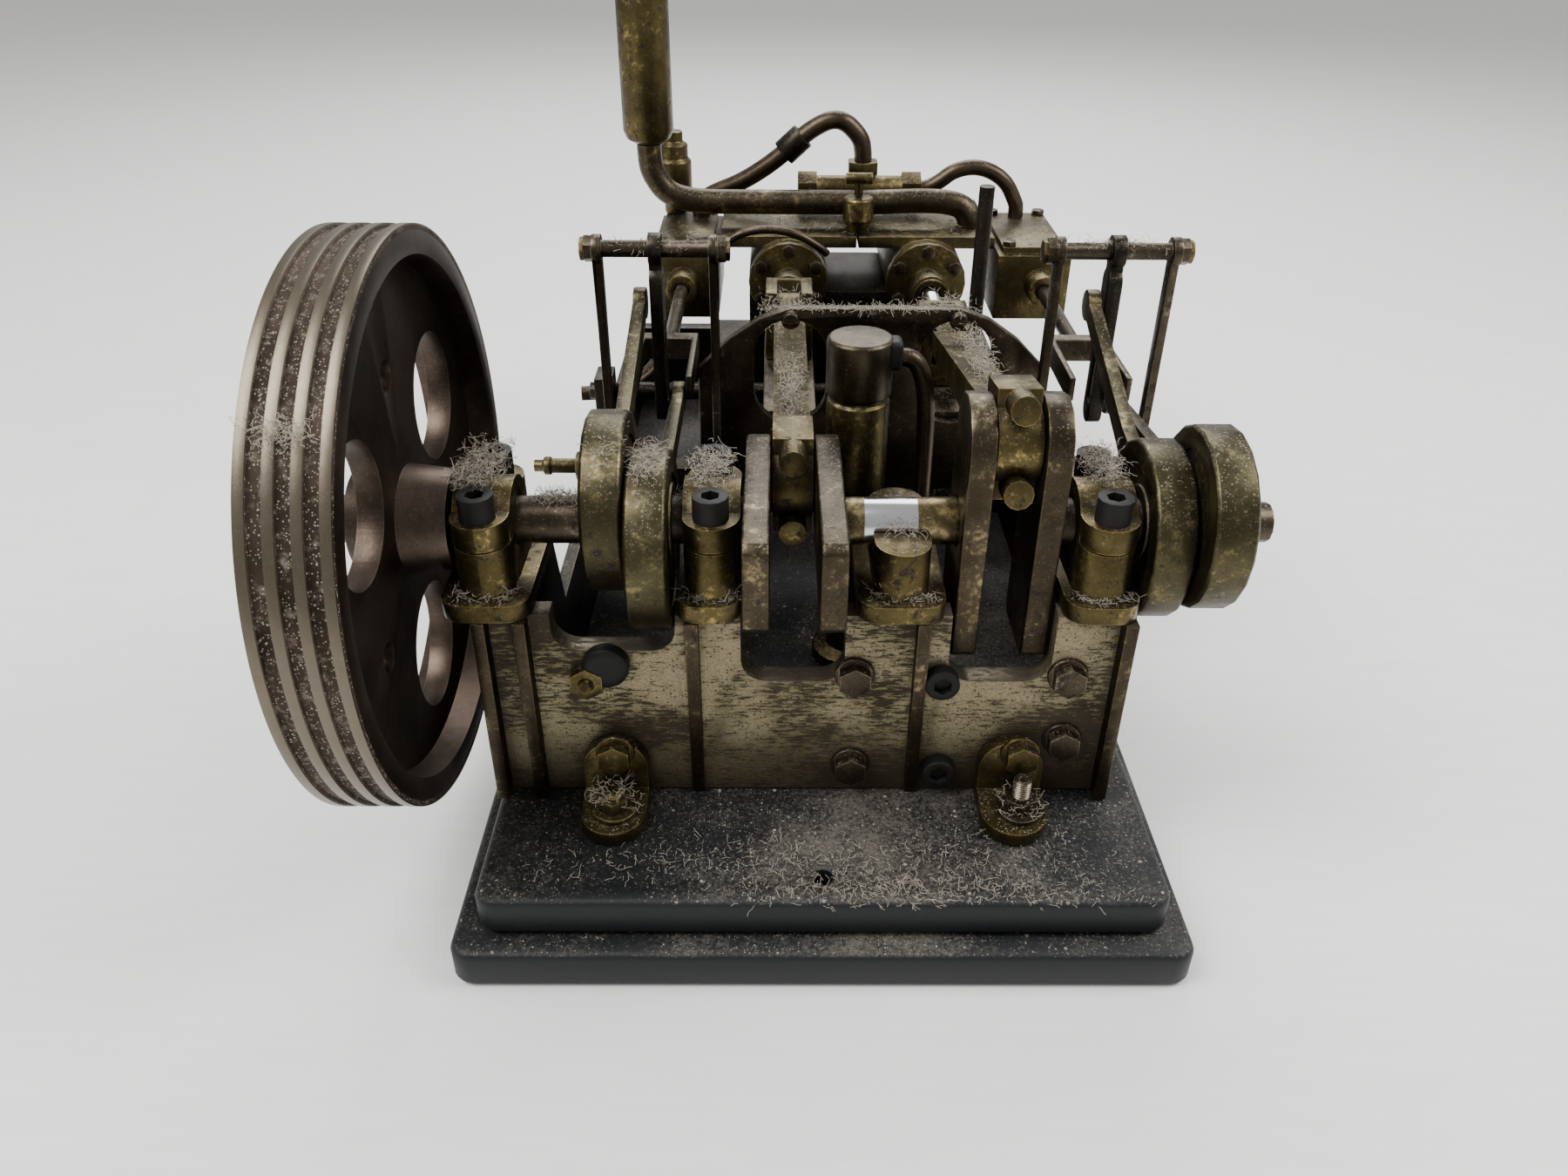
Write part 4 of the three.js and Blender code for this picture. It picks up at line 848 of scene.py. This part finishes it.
class ENGINE_OT_flywheel(bpy.types.Operator):
    """Grooved flywheel with its bored web"""

    bl_idname = "engine.flywheel"
    bl_label = "Flywheel"

    def execute(self, context):
        low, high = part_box("flywheel")
        rim = (high.z - low.z) / 2 / MM
        left = low.x / MM
        right = left + WHEEL_WIDTH
        tread = []
        for i in range(3):
            edge = left + LAND_WIDTH + i * (LAND_WIDTH + GROOVE_WIDTH)
            floor, far = rim - GROOVE_DEPTH, edge + GROOVE_WIDTH
            tread += [(rim, edge), (floor, edge + 0.3), (floor, far - 0.3), (rim, far)]
        inside, web_left, web_right = rim - RIM_DEPTH, left + WEB_INSET, right - WEB_INSET
        hub, bore = HUB_RADIUS, WHEEL_BORE
        profile = [
            (bore, left), (hub, left), (hub + 1, web_left), (inside - 1, web_left), (inside, left),
            (rim, left),
            *tread, (rim, right), (inside, right), (inside - 1, web_right), (hub + 1, web_right),
            (hub, high.x / MM), (bore, high.x / MM), (bore, left),
        ]
        wheel = lathe(mm(profile), context.scene.engine_sizes.rim_steps, closed=True)
        put(wheel, (0, 0, 0), "x")
        for diameter, first in WHEEL_HOLES:
            for i in range(3):
                angle = math.radians(first + 120 * i)
                cutter = lathe(mm([(diameter / 2, -30), (diameter / 2, 30)]), 64)
                back, up = HOLE_CIRCLE * math.cos(angle), HOLE_CIRCLE * math.sin(angle)
                put(cutter, (left + WHEEL_WIDTH / 2, back, up), "x")
                cut(wheel, cutter)
        soften(wheel, 0.35 * MM, 2, 28)
        settle(wheel, "flywheel_finished", "wheel_steel", "crankshaft", "brown_steel")
        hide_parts("flywheel")
        return {"FINISHED"}


class ENGINE_OT_pipes(bpy.types.Operator):
    """Copper pipes, the bronze exhaust pipe and the drain pipe"""

    bl_idname = "engine.pipes"
    bl_label = "Pipes"

    def execute(self, context):
        for node, diameter, finish, points in PIPES:
            pipe = tube(points, diameter)
            smooth(pipe, 40)
            settle(pipe, node + "_bent", finish, "engine_frame", SLOT_OF[node])
            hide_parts(node)
        drain = tube(DRAIN_ROUTE, 2.4, 16)
        smooth(drain, 40)
        settle(drain, "drain_pipe", "copper_pipe", "engine_frame")
        return {"FINISHED"}


class ENGINE_OT_turned_pieces(bpy.types.Operator):
    """Turned rings on the glands and covers"""

    bl_idname = "engine.turned_pieces"
    bl_label = "Turned pieces"

    def execute(self, context):
        steps = context.scene.engine_sizes.round_steps
        self.boss_rings(steps)
        return {"FINISHED"}

    def boss_rings(self, steps):
        """A turned step on each gland and cover."""
        for x in (-6.1, 35.7):
            profile = [(4.9, 133.6), (5.4, 133.6), (5.4, 134.9), (4.9, 134.9), (4.9, 133.6)]
            ring = lathe(mm(profile), steps, closed=True)
            put(ring, (x, 0, 0), "y")
            soften(ring, 0.15 * MM)
            settle(ring, f"gland_ring_{x:.0f}".replace("-", "m"), "old_brass", "engine_frame")


def fastener(kind):
    if kind == "bolt":
        return hexagon_head(6.2, 2.7, washer=4.1)
    if kind == "dished":
        return hexagon_head(6.4, 3.6, dished=True)
    if kind == "nut":
        return hexagon_head(6.2, 3.0, washer=4.8, stud=0.7)
    if kind == "tall_nut":
        return hexagon_head(6.2, 3.2, washer=4.8, stud=4.4)
    if kind == "socket":
        return socket_screw(3.5, 3.0)
    return slotted_screw(2.3, 1.7)


class ENGINE_OT_fasteners(bpy.types.Operator):
    """Bolts, nuts and screws"""

    bl_idname = "engine.fasteners"
    bl_label = "Fasteners"

    def execute(self, context):
        count = 0
        for kind, body, finish, axis, places in FASTENERS:
            master = fastener(kind)
            for x, y, z in places:
                piece = put(copied(master), (x, y, z), axis)
                settle(piece, f"{kind}_{count}", finish, body)
                count += 1
            bpy.data.objects.remove(master)
        return {"FINISHED"}


class ENGINE_OT_fittings(bpy.types.Operator):
    """Small fittings: drain unions, pipe sleeve, pump elbow, boss and nuts of the valve gear"""

    bl_idname = "engine.fittings"
    bl_label = "Fittings"

    def execute(self, context):
        steps = context.scene.engine_sizes.round_steps
        self.drains(steps)
        self.sleeve(steps)
        self.elbow()
        self.boss(steps)
        self.gear_nuts()
        self.lid_bolts()
        return {"FINISHED"}

    def drains(self, steps):
        nut = hexagon_head(7, 5)
        stem = lathe(mm([(2.1, 4), (2.1, 12), (2.6, 12.4), (2.6, 14), (1.7, 14.6), (1.7, 17)]), steps)
        soften(stem, 0.12 * MM)
        union = joined(nut, stem)
        union.data.transform(Matrix.Rotation(math.pi, 4, "Y"))
        put(union, (-61.2, 97, -37), "x")
        settle(union, "drain_union", "old_brass", "engine_frame")
        stub = tube(STUB_ROUTE, 4.4)
        smooth(stub, 40)
        settle(stub, "drain_stub", "copper_pipe", "engine_frame")

    def sleeve(self, steps):
        ring = lathe(mm([(3.2, -4), (4.1, -4), (4.1, 4), (3.2, 4)]), steps)
        soften(ring, 0.2 * MM)
        slope = Matrix.Rotation(math.radians(48), 4, "Y")
        ring.data.transform(Matrix.Translation(at(-4.6, 182, 32.7)) @ slope)
        settle(ring, "pipe_sleeve", "dark_steel", "engine_frame")

    def elbow(self):
        start()
        size = (4.6 * MM, 6 * MM, 6.6 * MM)
        bpy.ops.mesh.primitive_cube_add(size=1, location=at(15.4, 38, 20.2), scale=size)
        block = bpy.context.object
        bpy.ops.object.transform_apply(scale=True)
        bpy.ops.object.mode_set(mode="EDIT")
        bpy.ops.mesh.select_all(action="SELECT")
        bpy.ops.mesh.bevel(offset=1.2 * MM, segments=3, affect="EDGES")
        bpy.ops.object.mode_set(mode="OBJECT")
        smooth(block, 40)
        settle(block, "pump_elbow", "black_screw", "engine_frame", "dark_steel")

    def boss(self, steps):
        ring = lathe(mm([(4.6, 0), (4.6, 2.8), (3.4, 3.4), (2, 3.4)]), steps)
        put(ring, (-43.4, -12.6, -25.5), "-y")
        soften(ring, 0.3 * MM)
        settle(ring, "plate_boss", "black_screw", "engine_frame", "dark_steel")
        collar = socket_screw(1.7, 1.5)
        put(collar, (82.3, 0, 5.6), "z")
        settle(collar, "collar_screw", "black_screw", "crankshaft", "dark_steel")

    def gear_nuts(self):
        """Nuts on the ends of the cross rods over each valve gear."""
        master = hexagon_head(4.8, 2.2)
        for side, x in (("left", -38), ("right", 70)):
            for hand, axis in ((1, "x"), (-1, "-x")):
                nut = put(copied(master), (x + hand * 15.3, 70, 33), axis)
                settle(nut, f"cross_nut_{side}_{axis.replace('-', 'minus_')}", "old_brass", "hanger_" + side)
        bpy.data.objects.remove(master)

    def lid_bolts(self):
        """Hexagon heads on the chest lids and the cylinder covers."""
        small = hexagon_head(3.6, 1.5)
        places = [(x, y, 10.5) for x in (-43.5, -31) for y in (151, 186)]
        places += [(x, y, 10.5) for x in (60.5, 75.5) for y in (151, 186)]
        for number, place in enumerate(places):
            settle(put(copied(small), place), f"lid_bolt_{number}", "brown_steel", "engine_frame")
        for side, x in (("left", -6.1), ("right", 35.7)):
            for number in range(6):
                angle = math.radians(30 + 60 * number)
                place = (x + 9.6 * math.cos(angle), 146.9, 9.6 * math.sin(angle))
                nut = put(copied(small), place, "-y")
                settle(nut, f"cover_nut_{side}_{number}", "brown_steel", "engine_frame")
        bpy.data.objects.remove(small)


class ENGINE_OT_dust(bpy.types.Operator):
    """Tufts of fibre where dust has settled"""

    bl_idname = "engine.dust"
    bl_label = "Dust"

    def execute(self, context):
        count = context.scene.engine_sizes.strands
        for index, (body, centre, half, share) in enumerate(DUST):
            chance = random.Random(index + 11)
            self.tuft(index, body, centre, half, int(count * share), chance)
        return {"FINISHED"}

    def tuft(self, index, body, centre, half, count, chance):
        """One piece of many short curling fibres."""
        line = bpy.data.curves.new("tuft", "CURVE")
        line.dimensions = "3D"
        line.bevel_depth = 0.05 * MM
        line.bevel_resolution = 0
        for _ in range(count):
            spline = line.splines.new("POLY")
            spline.points.add(3)
            place = Vector([c + chance.triangular(-1, 1) * h for c, h in zip(centre, half)])
            heading = Vector([chance.gauss(0, 1), chance.gauss(0, 1), chance.gauss(0, 0.45)]).normalized()
            step = chance.uniform(0.3, 0.95)
            for point in spline.points:
                point.co = (*at(*place), 1)
                heading = (heading + Vector([chance.gauss(0, 0.5) for _ in range(3)])).normalized()
                place = place + heading * step
        piece = bpy.data.objects.new("tuft", line)
        bpy.context.scene.collection.objects.link(piece)
        only(piece)
        bpy.ops.object.convert(target="MESH")
        settle(bpy.context.object, f"dust_tuft_{index}", "fluff", body, SLOT_OF["plinth_upper"])


class ENGINE_PT_panel(bpy.types.Panel):
    """Lists the engine's operators"""

    bl_label = "Steam Engine"
    bl_space_type = "VIEW_3D"
    bl_region_type = "UI"
    bl_category = "Engine"

    def draw(self, context):
        for operator in OPERATORS:
            self.layout.operator(operator.bl_idname)
        for group in (context.scene.engine_sizes, context.scene.engine_colours, context.scene.engine_stage):
            for name in group.bl_rna.properties.keys():
                if name not in ("rna_type", "name"):
                    self.layout.prop(group, name)


GROUPS = {"engine_sizes": EngineSizes, "engine_colours": EngineColours, "engine_stage": EngineStage}
OPERATORS = (
    ENGINE_OT_stage,
    ENGINE_OT_castings,
    ENGINE_OT_flywheel,
    ENGINE_OT_pipes,
    ENGINE_OT_turned_pieces,
    ENGINE_OT_fasteners,
    ENGINE_OT_fittings,
    ENGINE_OT_dust,
)
CLASSES = (*GROUPS.values(), *OPERATORS, ENGINE_PT_panel)
SLOTS = {m["slot"] for m in frame["record"]["materials"]}
FINISHES = {}


def register():
    for kind in CLASSES:
        bpy.utils.register_class(kind)
    for name, kind in GROUPS.items():
        setattr(bpy.types.Scene, name, PointerProperty(type=kind))


def unregister():
    for name in GROUPS:
        delattr(bpy.types.Scene, name)
    for kind in reversed(CLASSES):
        bpy.utils.unregister_class(kind)


def main():
    register()
    FINISHES.update(make_finishes())
    for kind in OPERATORS:
        section, name = kind.bl_idname.split(".")
        getattr(getattr(bpy.ops, section), name)()
    start()


if __name__ == "__main__":
    main()
